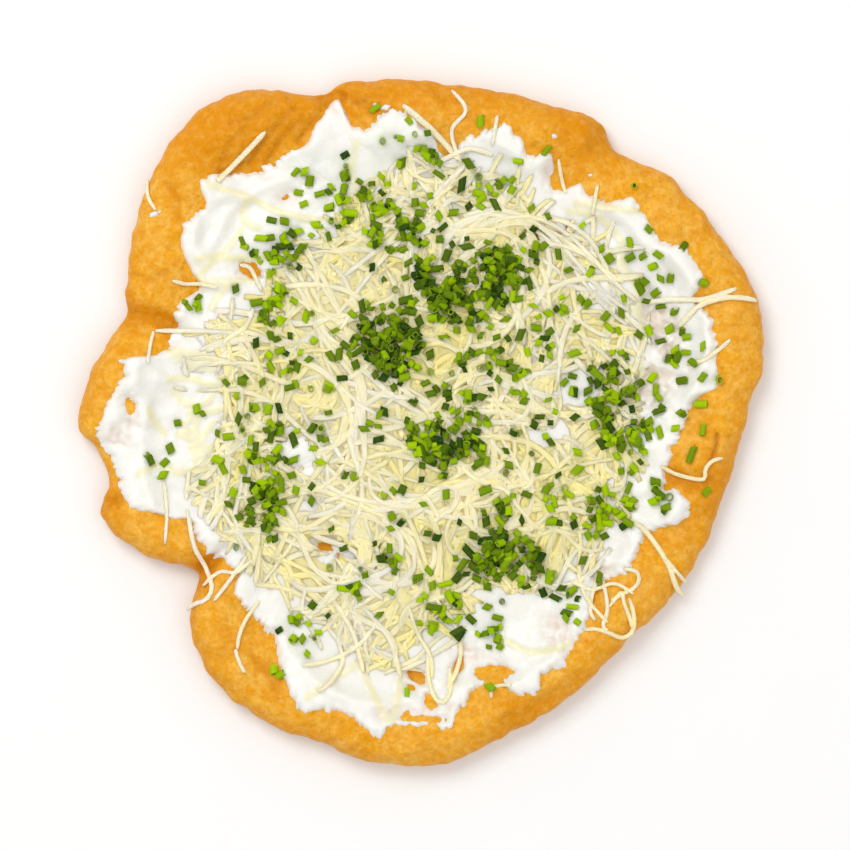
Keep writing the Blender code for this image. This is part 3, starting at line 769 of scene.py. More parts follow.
@dataclass
class Cream:
    """Soured cream spread over the bread, with a ragged edge, holes and spoon strokes."""

    dough: Dough
    outline: Outline = Outline(
        (
            (2, 94), (5, 97), (7, 103), (15, 107), (19, 108), (24, 105.5), (28, 111), (33, 111), (37, 105.5),
            (41, 105.5), (46, 108), (51, 100), (54, 99), (56, 101), (59, 94.5), (62, 100), (64, 104), (68, 100),
            (70, 104), (74, 108), (78, 103), (81, 100), (84, 92.5), (87, 100), (90, 104), (95, 109), (101, 104.5),
            (103, 107), (104.3, 117), (106.5, 114), (109, 110), (114, 104.5), (122, 104), (127, 108.5), (132, 114),
            (135, 106), (138, 107.5), (144, 103), (146, 97), (149, 90.5), (154, 94), (159, 91.5), (165, 93),
            (168, 106), (170, 104), (176, 109), (183, 113), (187, 108), (195, 106), (201, 92), (203, 87.5),
            (211, 87), (215, 83.5), (219, 82), (223, 88), (235, 90), (240, 98), (244, 103), (248, 108), (254, 104),
            (259, 107), (262, 110), (266, 105.5), (271, 105), (275, 107), (278, 101), (282, 95), (286, 91),
            (290, 101), (294, 102.5), (296, 97), (301, 98), (304, 94), (309, 92), (313, 87), (318, 84),
            (325, 89), (334, 88), (338, 95), (343, 99), (345, 93.5), (347.5, 87.5), (354, 89),
        )
    )  # fmt: skip
    strokes: tuple[Stroke, ...] = each(
        Stroke,
        (-172, -19, 79, 9, 31, 1.0), (-96, 21.5, 7, 175, 325, 0.6), (-45, -8, 52, 158, 215, 1.2),
        (-62, 8, 38, 120, 190, 1.5), (-80, 110, 62, 262, 330, 1.4), (-40, 52, 34, 95, 165, 1.5),
        (-66, 66, 13, 60, 250, 1.3), (62, 30, 38, -35, 60, 1.8), (50, 44, 34, -10, 75, 1.4),
        (-12, -60, 38, 215, 275, 1.6), (20, -52, 40, 262, 318, 1.6), (52, -10, 42, -70, -20, 1.4),
        (10, 66, 36, 40, 120, 1.3), (70, -48, 22, 250, 350, 1.2),
    )  # fmt: skip
    holes: tuple[Patch, ...] = each(
        Patch,
        (-101, 5.8, 2.0, 3.1), (-59.5, 53.5, 4.0, 2.8, -20), (8.6, 97, 2.6, 3.4), (-46.5, -8.6, 1.8, 2.6),
        (-53, -6.6, 2.4, 0.8), (-43.8, -14.8, 2.6, 1.0), (-33.4, -43.4, 2.8, 1.7, -20), (-27.3, -47.2, 1.3, 1.9, 35),
        (-20.7, -46.3, 1.6, 0.8, -25), (-1, -88.8, 3.8, 2.3, -39), (-2.8, -92.7, 2.4, 1.0, -35),
        (3.5, -97.2, 2.0, 2.9, 25), (-4.9, -101.2, 1.5, 0.9, 15), (1.5, -103.2, 8.0, 1.2, -3),
        (13.7, -84.8, 1.6, 3.6, -25), (25.8, -87.4, 6.4, 2.9), (88, -21, 4.0, 2.0, 35), (-47, 79, 1.1, 0.6, 30),
        (39.6, 22.8, 1.3, 2.2, -10), (40.6, 65.6, 1.4, 1.4), (52.4, 68.3, 1.3, 2.1), (47.6, 66.8, 2.4, 0.9, -20),
        (-10.6, 52.4, 1.8, 1.3, 30), (48, 84.5, 2.4, 3.2),
    )  # fmt: skip
    smears: tuple[Patch, ...] = each(
        Patch,
        (-106.5, -4.5, 5, 3, -15), (-106, 12, 2, 4), (-101, -0.5, 2.5, 3), (49, -74, 5, 7, 30), (-47, 79, 3, 2),
        (84, 33, 6, 12, 20), (99, 6, 4, 4), (81, 13, 8, 7), (5, -101, 9, 3), (16, -80, 6, 3, -30), (-9, -101, 6, 3),
        (62, -52, 6, 4), (46, 88, 3, 6),
    )  # fmt: skip
    veils: tuple[Pairs, ...] = (
        ((-86.3, 11.6), (-82.8, 7.5), (-78.2, 6), (-74.1, 7.5), (-72.9, 9.2)),
        ((-94.5, 4.6), (-92.2, 0), (-89.3, -3.6)), ((-84, 21.5), (-78.2, 19.7), (-71.2, 18.6)),
        ((-87.5, 25.6), (-81, 24.5), (-74.7, 23.8)), ((-80.5, 3.9), (-78, 1), (-78.8, -3.5)),
        ((-84, -3.5), (-79.5, -6), (-76, -4.8), (-72.5, 0)),
        ((-78.2, -6), (-78.2, -11.8), (-78.8, -17.5), (-81.2, -23.5)), ((-73.5, -8.3), (-72.5, -14), (-72.9, -21)),
        ((-87, 24.4), (-81.1, 21.4), (-75.8, 20.8), (-69.2, 22.4)),
        ((-87.7, 15.2), (-81.1, 15.8), (-74.5, 13.8), (-67.9, 13.8)),
        ((-82.4, -0.7), (-78.4, 2.6), (-73.2, 3.9), (-67.9, 5.9)),
        ((-84.4, -4), (-79.8, -2.7), (-76.5, -5.4), (-75.8, -10.6), (-77, -17.3)),
        ((-79.8, -8), (-78.4, -13.3), (-79.8, -19.9)), ((-85.2, -17.5), (-80.5, -16.5), (-74.7, -17.5)),
        ((-98, -18), (-92, -15), (-87, -16)),
        ((-73.5, 83.3), (-65.5, 80.5), (-57.8, 78), (-51.5, 74.6), (-43.2, 72.2), (-34.4, 70.5)),
        ((-60.7, 77.4), (-62, 73.5), (-60.7, 70), (-56.7, 68.3)),
        ((-62.4, 67.5), (-64.8, 64), (-69, 59.5), (-77.7, 57)),
        ((-72.5, 57.7), (-60.7, 57.7), (-49, 58.8), (-37.4, 57)),
        ((-71.8, 56.5), (-76, 53), (-76.4, 49.5), (-74.7, 47.7)), ((-75.3, 49), (-66.5, 49.5), (-57.8, 50)),
        ((-66.5, 48.3), (-70.7, 44.2), (-72.5, 40.3)), ((54.6, 76.7), (65.8, 74.9), (77, 73.9)),
        ((51.8, 73.9), (59.2, 72.9), (66.7, 68.3), (70.9, 60.9), (69.5, 54.3)),
        ((69.5, 57), (74.2, 49.7), (76, 43), (77, 32.9)),
        ((65.8, 47.7), (72.3, 43), (75.1, 34.7), (77, 25.3), (77, 16)),
        ((53.6, 21.7), (60.2, 19.7), (62, 16), (68.6, 16), (74.2, 20.7)), ((-22, 98), (-24, 88), (-20, 78)),
        ((-39.3, -95.4), (-30, -89.2), (-19, -83), (-8.2, -81.4)), ((-20.7, -84.4), (-17.5, -92.3), (-11.3, -103.2)),
        ((-6.7, -89.2), (-8.2, -98.4), (-9.8, -104)), ((30, -76), (40, -80), (52, -77)),
    )  # fmt: skip
    dabs: tuple[Patch, ...] = each(
        Patch,
        (46.8, 99.8, 1.0, 0.9), (-93.0, 72.8, 1.6, 1.0, 20), (-90.9, 73.6, 0.7, 0.5, 30), (-12, 110, 1.7, 0.9, 8),
        (-15.5, 110.8, 0.9, 0.6, -10), (59.5, 86.5, 0.7, 0.6),
    )  # fmt: skip
    bearings: int = 800
    depth: float = 2.9
    shoulder: float = 1.5  # inset over which it thickens
    film: float = 0.3  # its depth where it is smeared out
    veil_height: float = 0.45
    lumps: Pairs = ((19.0, 0.9), (7.0, 0.5), (3.0, 0.14))
    smear_lumps: Pairs = ((5.0, 0.9), (2.0, 0.5))

    def ragged_inset(self, x: Array, y: Array) -> Array:
        """How far inside the ragged edge, or outside a hole, each point is."""
        bearing = np.radians(bearing_of(x, y))
        u, v = 104 * np.cos(bearing), 104 * np.sin(bearing)
        streaks = waves(u, v, (1.3, 1.6)) * np.clip(0.7 + waves(u, v, (16.0, 1.6)), 0, 1.5)
        fine = waves(x, y, (1.7, 0.8))
        inset = self.outline.inset(x, y)
        inset += (waves(x, y, (4.2, 1.4)) + fine + streaks) * smooth(1 - np.abs(inset) / 9)
        for hole in self.holes:
            inset = np.minimum(inset, hole.outside(x, y) + fine)
        return inset

    def veiled(self, x: Array, y: Array) -> Array:
        """Where a shred shows through a film of cream, from 0 to 1."""
        found = np.zeros_like(x)
        for line in self.veils:
            points = bent_line(line, 14)
            (low_x, low_y), (high_x, high_y) = points.min(axis=0) - 3, points.max(axis=0) + 3
            near = (x > low_x) & (x < high_x) & (y > low_y) & (y < high_y)
            beside = along_line(x[near], y[near], points)
            found[near] = np.maximum(found[near], smooth((1.2 - beside) / 0.9 + 0.5))
        return found

    def thickness(self, x: Array, y: Array) -> tuple[Array, Array]:
        """Depth of the cream over the bread.

        Args:
            x, y: The plan.

        Returns:
            The depth, below zero where there is none, and how smeared out it is.
        """
        inset = self.ragged_inset(x, y)
        smear = np.zeros_like(inset)
        for patch in self.smears:
            smear = np.maximum(smear, smooth(0.5 - patch.outside(x, y) / 5))
        smear = smear * np.clip(0.65 + waves(x, y, *self.smear_lumps), 0, 1)
        body = self.depth + waves(x, y, *self.lumps)
        body = np.maximum(0.9, body + sum(stroke.at(x, y) for stroke in self.strokes))
        body = body * (1 - smear) + self.film * smear + self.veil_height * self.veiled(x, y)
        depth = np.where(inset > 0, body * (1 - np.exp(-np.maximum(inset, 0) / self.shoulder)), inset * 0.7)
        return np.maximum(depth, -0.35), smear * smooth(inset / 0.8)

    def build(self, material: bpy.types.Material) -> bpy.types.Object:
        """Builds the cream and dresses it.

        Args:
            material: The cream's finish.

        Returns:
            The piece.
        """
        bearings = 360 * np.arange(self.bearings) / self.bearings
        reach = self.outline.reach(bearings) + 2.0
        shares = np.concatenate([[0.04, 0.14, 0.26, 0.38, 0.48], np.linspace(0.56, 1, 84)])
        x, y = on_rings(shares[:, None] * reach[None, :], bearings)
        depth, thin = self.thickness(x, y)
        ground = self.dough.top(x, y)
        upper = np.stack([x, y, ground + depth], -1)
        back = np.arange(len(x) - 1, -1, -4)
        lower = np.stack([x[back], y[back], ground[back] - 1.2], -1)
        thin = np.vstack([thin, thin[back]])
        veil = np.vstack([self.veiled(x, y), 0 * x[back]])
        rings = np.vstack([upper, lower])
        skin = closed_skin("cream", rings, upper[0, :, 2].mean(), lower[-1, :, 2].mean(), thin=thin, veil=veil)
        for piece in (skin, self.build_dabs()):
            piece.data.materials.append(material)
            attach(piece, BODY)
            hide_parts("soured_cream")
        return skin

    def build_dabs(self) -> bpy.types.Object:
        """The small drops that fell on the bare crust, as one piece."""
        bpy.ops.object.select_all(action="DESELECT")
        bpy.ops.mesh.primitive_uv_sphere_add(segments=16, ring_count=8, radius=1, location=(0, 0, 0))
        ball = bpy.context.object
        shape = np.array([v.co for v in ball.data.vertices])
        shape_faces = [list(face.vertices) for face in ball.data.polygons]
        bpy.data.objects.remove(ball)
        points, faces = [], []
        for dab in self.dabs:
            turn = math.radians(dab.turn)
            u, v = shape[:, 0] * dab.wide, shape[:, 1] * dab.high
            x = dab.x + u * math.cos(turn) - v * math.sin(turn)
            y = dab.y + u * math.sin(turn) + v * math.cos(turn)
            rags = 1 + waves(x, y, (0.9, 0.5))
            x, y = dab.x + (x - dab.x) * rags, dab.y + (y - dab.y) * rags
            faces += [[c + len(points) * len(shape) for c in face] for face in shape_faces]
            points.append(np.stack([x, y, self.dough.top(x, y) + 0.6 * dab.high * shape[:, 2]], 1))
        return make_object("cream_dabs", np.vstack(points), faces, thin=np.zeros(len(points) * len(shape)))


# The grated cheese


class Lie(Enum):
    """How a shred lies, as the height of its underside over the ground."""

    RESTING = -0.22
    HALF_SUNK = -0.38
    SUNK = -0.5


@dataclass(frozen=True)
class Stray:
    """A shred that lies apart, along its own line in the plan."""

    line: Pairs
    width: float = 1.5
    ends: tuple[float, float] = (0.5, 0.6)


@dataclass
class Shreds:
    """Many thin shreds, gathered as one mesh."""

    section: tuple[float, ...] = (0, 58, 122, 180, 270)
    points: list = field(default_factory=list)
    faces: list = field(default_factory=list)
    tones: list = field(default_factory=list)
    size: int = 0

    def add(
        self, route: Array, width: float, thickness: float, roll: float, tone: float, ends: tuple[float, float]
    ) -> None:
        """Adds one shred.

        Args:
            route: Its middle line, one row for each ring.
            width, thickness: Its section.
            roll: How far it twists along its length, in radians.
            tone: Its colour, from ivory at 0 to butter at 1.
            ends: The share of its section that is left at its two ends.
        """
        count, sides = len(route), len(self.section)
        along = np.gradient(route, axis=0)
        along /= np.linalg.norm(along, axis=1, keepdims=True)
        across = np.cross([0, 0, 1.0], along)
        across /= np.linalg.norm(across, axis=1, keepdims=True)
        up = np.cross(along, across)
        twist = roll * np.linspace(-0.5, 0.5, count)[:, None]
        side, rise = across * np.cos(twist) + up * np.sin(twist), up * np.cos(twist) - across * np.sin(twist)
        taper = np.ones(count)
        taper[0], taper[1] = ends[0], 0.6 + 0.4 * ends[0]
        taper[-1], taper[-2] = ends[1], 0.6 + 0.4 * ends[1]
        taper = taper[:, None, None]
        angle = np.radians(self.section)
        ring = side[:, None] * (np.cos(angle) * width / 2)[:, None]
        ring = ring + rise[:, None] * (np.sin(angle) * thickness / 2)[:, None]
        self.points.append((route[:, None] + taper * ring).reshape(-1, 3))
        i = np.arange(sides)
        k = np.roll(i, -1)
        starts = self.size + np.arange(count - 1)[:, None] * sides
        quads = np.stack([starts + i, starts + k, starts + sides + k, starts + sides + i], -1).reshape(-1, 4)
        last = self.size + (count - 1) * sides
        self.faces += quads.tolist() + [(self.size + i[::-1]).tolist(), (last + i).tolist()]
        self.tones.append(np.full(count * sides, tone))
        self.size += count * sides

    def build(self, name: str) -> bpy.types.Object:
        """Makes the object."""
        return make_object(name, np.vstack(self.points), self.faces, tone=np.concatenate(self.tones))


@dataclass(frozen=True)
class Layer:
    """A layer of the heap.

    Attributes:
        tufts: How many groups of shreds it has.
        lie: How they lie.
        stacking: The share of its thickness that a shred adds to the heap.
        tone: Their colour, from ivory at 0 to butter at 1; lower layers get more butter as painted shade.
    """

    tufts: int
    lie: Lie
    stacking: float
    tone: float


@dataclass
class Cheese:
    """The heap: a packed bed of its own, and the shreds that lie on it and around it."""

    cream: Cream
    terrain: Terrain
    outline: Outline = Outline(
        (
            (0, 82), (20, 86), (40, 99), (58, 90), (74, 98), (90, 94), (106, 86), (122, 76), (136, 74),
            (152, 82), (168, 88), (184, 80), (198, 84), (215, 79), (236, 82), (258, 89), (276, 81), (291, 68),
            (306, 80), (320, 79), (340, 82),
        )
    )  # fmt: skip
    bare: tuple[Patch, ...] = each(
        Patch,
        (-97, -5, 15, 28, 0, 0.97), (-72, 66, 15, 20, 0, 0.95), (-36, 93, 30, 15, 22, 0.97), (92, 38, 11, 26, 0, 0.9),
        (-35, -90, 14, 13, 0, 0.97), (-10, -98, 10, 8, 0, 0.9), (37, -77, 18, 19, 0, 0.95), (86, -28, 9, 8, 0, 0.8),
        (74, -44, 7, 7, 0, 0.7), (28, 93, 11, 7, 0, 0.75), (84, 14, 9, 18, 0, 0.6), (-13, 27, 5, 5, 0, 0.6),
        (29, -47, 6, 5, 0, 0.6), (56, 12, 11, 9, 20, 0.8), (46, -4, 10, 5, 15, 0.9), (-41, -12, 6, 7, 20, 0.97),
        (62, 44, 8, 7, 0, 0.6), (-38, -29, 5, 4, 0, 0.9), (-27, -45, 8, 3, -20, 0.9), (-14, -47, 4, 4, 0, 0.8),
        (-59, 53, 5, 4, -20, 0.9), (-12, 52, 4, 3, 0, 0.9), (50, 67, 5, 3, 0, 0.8), (40, 23, 2, 3, 0, 0.9),
        (40, 66, 3, 3, 0, 0.9), (8, 96, 4, 5, 0, 0.95), (15, 74, 8, 5, 0, 0.6), (20, 49, 7, 4, 0, 0.6),
        (-54, 22, 7, 5, 0, 0.5), (-30, -98, 26, 8, 0, 0.97), (-58, -72, 8, 8, 0, 0.9), (82, -10, 5, 10, 0, 0.6),
        (-45.5, -9, 4, 5, 0, 1.0), (-31, -45, 6, 3.5, -20, 1.0), (-60, 53, 5, 4, -20, 1.0), (-75, 6, 9, 22, 0, 0.8),
        (70, 56, 10, 20, 0, 0.4),
    )  # fmt: skip
    strays: tuple[Stray, ...] = each(
        Stray,
        (((-70.5, 84.2), (-69, 86), (-61, 94), (-53.2, 102)), 2.0, (1.2, 0.5)),
        (((-95.4, 85.2), (-95.2, 80.5), (-94.2, 77.5), (-92, 74)), 1.3),
        (((-6, 110.6), (3.5, 102.6), (10.5, 95.5), (14, 91)), 2.4),
        (((11, 116), (15, 111.3), (15.7, 107.8), (11.2, 102.5), (12.2, 96), (15, 90)), 1.5),
        (((27, 107), (26.2, 103), (25, 96)), 1.4), (((48.3, 92), (49.4, 85.8), (51, 79.8)), 1.4),
        (((62, 83.3), (61.2, 78.8), (60, 72)), 1.4), (((-60, 30.5), (-66.5, 31.5), (-80.5, 32.2), (-93.5, 32.2)), 1.7),
        (((-93, 32.2), (-94.2, 26.2), (-94.5, 20.3)), 1.3),
        (((-86.5, 49.7), (-82, 48.6), (-77, 48.6), (-70, 47)), 1.5),
        (((78, 42), (88, 43), (98, 43), (105, 45), (111.3, 47.3)), 2.0),
        (((90, 33), (97, 40.5), (105, 43.4), (112, 43.6), (118.5, 42.5)), 2.0),
        (((93, 20.5), (98.5, 21.8), (104, 25.5), (108.5, 29.5)), 1.5),
        (((84, -15), (89.8, -18), (98.6, -19.7), (99.4, -16.1), (102, -13.1), (106.4, -12.1)), 1.6),
        (((70, -33), (78, -37), (86, -48.3), (89.6, -57.4), (93.1, -61.5)), 2.0),
        (((85, -46.5), (90.6, -53.2), (93.6, -56.2)), 1.4),
        (((71, -50.8), (75.3, -51.8), (76.3, -54.6), (74.6, -57.4), (70.4, -59.7), (66, -62)), 1.5),
        (((72.8, -61), (74.2, -65.4), (74.6, -70.4), (73.5, -73.5), (70.3, -74.9), (66, -73.2), (61, -71.8),
         (56, -72.3)), 1.6), (((62, -54), (59.9, -60.4), (59.5, -66.2), (61.6, -69)), 1.5),
        (((64, -55), (65.3, -64.7), (63.8, -70.4), (65.8, -72.5)), 1.5),
        (((66, -64), (70.3, -58.9), (71, -62.5), (73.2, -68.3), (73.9, -72)), 1.4),
        (((55, -52), (57.5, -60), (62, -66), (66, -70)), 1.5), (((52, -55), (60, -58), (68, -56), (75, -60)), 1.4),
        (((-81.2, -30), (-78.8, -42.7), (-75.3, -49.7), (-72.5, -57), (-74.5, -61.5), (-79, -63.3),
         (-82.5, -66.5)), 1.7), (((-71.8, -62), (-66.5, -55), (-60, -46)), 1.5),
        (((-76, -57), (-70, -52), (-64, -52), (-58, -47)), 1.4), (((-89.3, -20), (-88.2, -31.2), (-88.8, -42.7)), 1.3),
        (((-56, -62), (-60.6, -68.3), (-63, -74.2), (-63.7, -79.5)), 1.5),
        (((-64.4, -78.8), (-63, -83), (-60.9, -87.2)), 1.5),
        (((3.2, -78.2), (2.8, -87.5), (4.6, -94.7), (7.4, -97.5), (10.5, -93.9), (10.2, -84)), 1.6),
        (((31.7, -91), (26.6, -91.7), (24.9, -93.1), (24.9, -96.1)), 1.3),
        (((-63, 55.3), (-59.5, 54.3), (-57.2, 50), (-55, 45.5)), 1.6),
        (((17.5, 62.3), (21, 57), (23.5, 49.5), (24.2, 39.5)), 2.1),
        (((14, 48.3), (7, 48.7), (2.8, 49), (1.4, 51.8), (3.5, 54.3), (5, 55)), 1.6),
        (((2.8, 48.6), (3.9, 44.8), (4.2, 42)), 1.7), (((-3.5, 41.6), (0, 39.9), (3.9, 39.2)), 1.9),
        (((20, 35), (18.2, 31.8), (16.8, 27.3), (14.7, 22), (12.2, 15)), 1.9),
        (((-28, 32.6), (-23.8, 38.1), (-18.2, 40.3), (-11.2, 43), (-7.7, 46.5), (-6.7, 50)), 1.6),
        (((-58.5, 40.3), (-59.2, 36.8), (-62, 32.6), (-66.5, 29.8), (-69.3, 27.3)), 1.9),
        (((35, 58.8), (43.8, 62), (50.8, 61.6), (59.5, 57.8)), 1.7),
        (((51.1, 38.9), (56, 35.4), (62, 31.5), (67.2, 29.8)), 1.9),
        (((44.8, 38.2), (44.8, 34.3), (42.7, 30.8), (38.5, 28.4)), 1.6),
        (((77, 12.6), (70, 9.8), (64.8, 5.3), (59.5, 2.5), (50, 1)), 2.0),
        (((-7, 23.8), (-1.8, 23.5), (3.5, 21.4), (4.9, 19.6)), 1.4),
        (((1.8, -25.2), (7, -22.8), (11.2, -22.8), (13, -25.9), (11.2, -29.8), (7, -32.6), (4.2, -35.4)), 2.1),
        (((-17.8, -18.9), (-17.2, -23.5), (-14.4, -27), (-8.8, -29), (-1.8, -29.4)), 1.8),
        (((14, -14.7), (20.3, -20), (29.8, -23.5), (33.3, -28), (37.8, -34), (43.8, -38.9)), 2.0),
        (((2.5, -26), (5.2, -30.5), (7, -33.3)), 1.8), (((16.8, -27), (19.2, -32.2), (19.6, -37.5)), 1.8),
        (((38.5, -9.5), (39.6, -16.5), (38.5, -21.7), (35, -23.5)), 1.8),
        (((-9.8, -44.5), (-8, -48), (-8.4, -55), (-9.8, -62)), 2.3),
        (((-22.8, -53.2), (-15.8, -59.2), (-12.3, -62)), 1.6),
        (((27, -48), (20.3, -53.2), (14, -58.5), (7, -61), (1.8, -62.7)), 1.9),
        (((-68.3, 15), (-66.8, 8), (-65.5, 1.8), (-61.3, -2.5), (-54.3, -4.6), (-45.5, -6)), 1.7),
        (((-60, -11), (-52.5, -8), (-47.9, -7.4)), 1.8), (((-80.5, -16.5), (-81.2, -22), (-81.5, -27)), 1.7),
        (((-25, -66), (-28.4, -75), (-27, -83), (-31, -90), (-36.5, -94)), 1.7),
        (((-30, -62), (-24, -72), (-21.5, -80), (-19.5, -88)), 1.9),
        (((-20, -64), (-13, -72), (-9, -80), (-6.5, -90)), 1.8),
        (((-15, -70), (-22, -78), (-32, -83), (-42, -84.5)), 1.6),
        (((-4, -64), (-1, -73), (3.8, -82), (4.2, -90)), 1.5),
        (((6, -62), (12, -70), (14.2, -78), (13, -86), (9, -93)), 1.7),
        (((-40, -58), (-41, -66), (-36, -75), (-34, -80)), 1.7), (((-22, 66), (-12, 69), (0, 66), (9, 70)), 1.8),
        (((3.5, 90), (10.5, 93), (17.5, 95.5), (26, 93)), 1.9),
    )  # fmt: skip
    # the deeper layers are more butter: painted shade deep in the heap, warmed by light through the cheese
    layers: tuple[Layer, ...] = (
        Layer(118, Lie.HALF_SUNK, 0.15, 0.75),
        Layer(36, Lie.RESTING, 0.25, 0.4),
        Layer(15, Lie.RESTING, 0.4, 0.15),
    )
    field: float = 208.0  # side of the square that holds the heap
    flow: Pairs = ((42.0, 3.2),)  # how headings turn from place to place
    lumps: Pairs = ((27.0, 1.4), (13.0, 0.8))
    stray_thickness: float = 0.9
    sinking: float = 0.3
    dive: float = 1.0
    seed: int = 8

    def density(self, x: Array, y: Array) -> Array:
        """How thickly the cheese lies, from 0 to 1."""
        dense = smooth((self.outline.inset(x, y) + 6) / 18)
        for patch in self.bare:
            dense = dense * (1 - patch.weight * smooth(0.5 - patch.outside(x, y) / 8))
        return dense

    def packed(self, x: Array, y: Array) -> Array:
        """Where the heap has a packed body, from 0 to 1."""
        return smooth((self.density(x, y) - 0.45) / 0.4) * smooth((self.outline.inset(x, y) - 5) / 14)

    def build_bed(self, under: Array, material: bpy.types.Material) -> bpy.types.Object:
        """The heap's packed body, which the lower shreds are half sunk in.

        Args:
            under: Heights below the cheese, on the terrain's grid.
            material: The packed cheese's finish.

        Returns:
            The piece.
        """
        bearings = np.arange(0, 360, 0.75)
        shares = np.linspace(0.02, 1, 80)
        x, y = on_rings(shares[:, None] * self.outline.reach(bearings)[None, :], bearings)
        ground = self.terrain.at(x, y, under)
        level = self.terrain.at(x, y, self.terrain.evened_crest(2.5)) + waves(x, y, (4.5, 0.5)) - self.sinking
        z = ground - 0.6 + self.packed(x, y) * np.maximum(level - ground + 0.6, 0)
        back = np.arange(len(x) - 1, -1, -3)
        lower = np.stack([x[back], y[back], np.minimum(ground[back], z[back]) - 0.8], -1)
        # the bed is mostly butter: painted shade deep in the heap
        tone = np.clip(0.8 + waves(x, y, (6.0, 0.5)), 0, 1)
        rings = np.vstack([np.stack([x, y, z], -1), lower])
        tones = np.vstack([tone, tone[back]])
        bed = closed_skin("cheese_bed", rings, z[0].mean(), lower[-1, :, 2].mean(), tone=tones)
        self.terrain.raise_to(x, y, z)
        return self.dress(bed, material)

    def lay(self, plan: Array, thickness: float, width: float, lie: Lie, stacking: float, dive: float = 0.0) -> Array:
        """Rests a shred on the ground along its plan, then counts it as ground.

        Args:
            plan: Fine points in the plan.
            thickness, width: The shred's section.
            lie: How it lies.
            stacking: The share of its thickness that the next ones lie on.
            dive: How far it sinks into the cream where the heap thins out.

        Returns:
            Its middle line.
        """
        x, y = plan.T
        along = np.gradient(plan, axis=0)
        along /= np.linalg.norm(along, axis=1, keepdims=True)
        side = np.stack([-along[:, 1], along[:, 0]], 1) * width / 2
        ground = np.max([self.terrain.at(x + f * side[:, 0], y + f * side[:, 1]) for f in (-0.7, 0, 0.7)], axis=0)
        padded = np.pad(ground, 4, "edge")
        high = np.max([padded[i : i + len(x)] for i in range(9)], axis=0)
        kernel = np.hanning(15)[1:-1] / np.hanning(15).sum()
        bridge = np.convolve(np.pad(high, 6, "edge"), kernel, "valid")
        low = (ground if lie is Lie.SUNK else 0.5 * bridge + 0.5 * ground) + lie.value
        low -= dive * (1 - smooth((self.density(x, y) - 0.05) / 0.4))
        for f in (-1, -0.5, 0, 0.5, 1):
            top = low + stacking * thickness
            self.terrain.raise_to(x + f * side[:, 0], y + f * side[:, 1], top, (1 - stacking) * thickness)
        return np.stack([x, y, low + thickness / 2], 1)

    def spots(self, draw: np.random.Generator, count: int) -> Iterator[Array]:
        """Spots spread evenly over the heap, as many as asked, fewer where it is thin."""
        turn, found = draw.integers(0, 9000), 0
        while found < count:
            turn += 1
            spot = (turn * np.array(EVEN_STEPS) % 1 - 0.5) * self.field
            if draw.uniform() < self.density(*spot[:, None])[0]:
                found += 1
                yield spot

    def tuft(self, draw: np.random.Generator, spot: Array) -> Iterator[Array]:
        """Plans of a few shreds that came off the grater together and still flow side by side."""
        heading = waves(*spot[:, None], *self.flow)[0] + draw.normal(0, 0.9)
        curly = 2.2 if draw.uniform() < 0.25 else 1.0
        bend, sway = curly * draw.normal(0, 0.024), curly * draw.normal(0, 0.055)
        beat, phase = draw.uniform(0.4, 1.3), draw.uniform()
        for _ in range(draw.integers(3, 8)):
            length = float(np.clip(draw.gamma(8, 6.0), 20, 84))
            steps = int(length / 0.6)
            share = np.linspace(0, 1, steps)
            own = bend + draw.normal(0, 0.010)
            own = own + sway * np.sin(2 * math.pi * (share * beat + phase + draw.normal(0, 0.04)))
            angle = heading + draw.normal(0, 0.22) + np.cumsum(own * length / steps)
            plan = np.cumsum(np.stack([np.cos(angle), np.sin(angle)], 1), axis=0) * length / steps
            least = 0.04 if draw.uniform() < 0.3 else draw.uniform(0.12, 0.45)
            yield self.trimmed(plan - plan[steps // 2] + spot + draw.normal(0, 4.2, 2), least)

    def trimmed(self, plan: Array, least: float) -> Array:
        """The part of a plan round its middle that lies well inside the cream and the heap.

        Args:
            plan: Fine points in the plan.
            least: How thin the heap may be under it.

        Returns:
            The points that stay.
        """
        stays = (self.cream.outline.inset(*plan.T) > 1.5) & (self.density(*plan.T) > least)
        outside = np.flatnonzero(~stays)
        middle = len(plan) // 2
        first = max(outside[outside <= middle], default=-1) + 1
        last = min(outside[outside > middle], default=len(plan))
        return plan[first:last]

    def strew(self, draw: np.random.Generator, layer: Layer, shreds: Shreds) -> None:
        """Lays one layer of the heap."""
        for spot in self.spots(draw, layer.tufts):
            for plan in self.tuft(draw, spot):
                if len(plan) < 16:
                    continue
                width, thickness = 1.4 + 1.5 * draw.beta(1.6, 2.4), draw.uniform(0.55, 0.85)
                dense = self.density(*plan.T).mean()
                sparse = dense < 0.5 and draw.uniform() < 0.6
                route = self.lay(plan, thickness, width, Lie.SUNK if sparse else layer.lie, layer.stacking, self.dive)
                # paler where the heap is thin, as painted light from the white cream under the shreds; more butter in
                # deeper layers as painted shade
                tone = layer.tone * (0.1 + 0.9 * smooth((dense - 0.5) / 0.45)) + draw.normal(0, 0.15)
                ends = (draw.uniform(0.5, 1.0), draw.uniform(0.5, 1.0))
                shreds.add(route[::4], width, thickness, draw.normal(0, 0.4), np.clip(tone, 0, 1), ends)

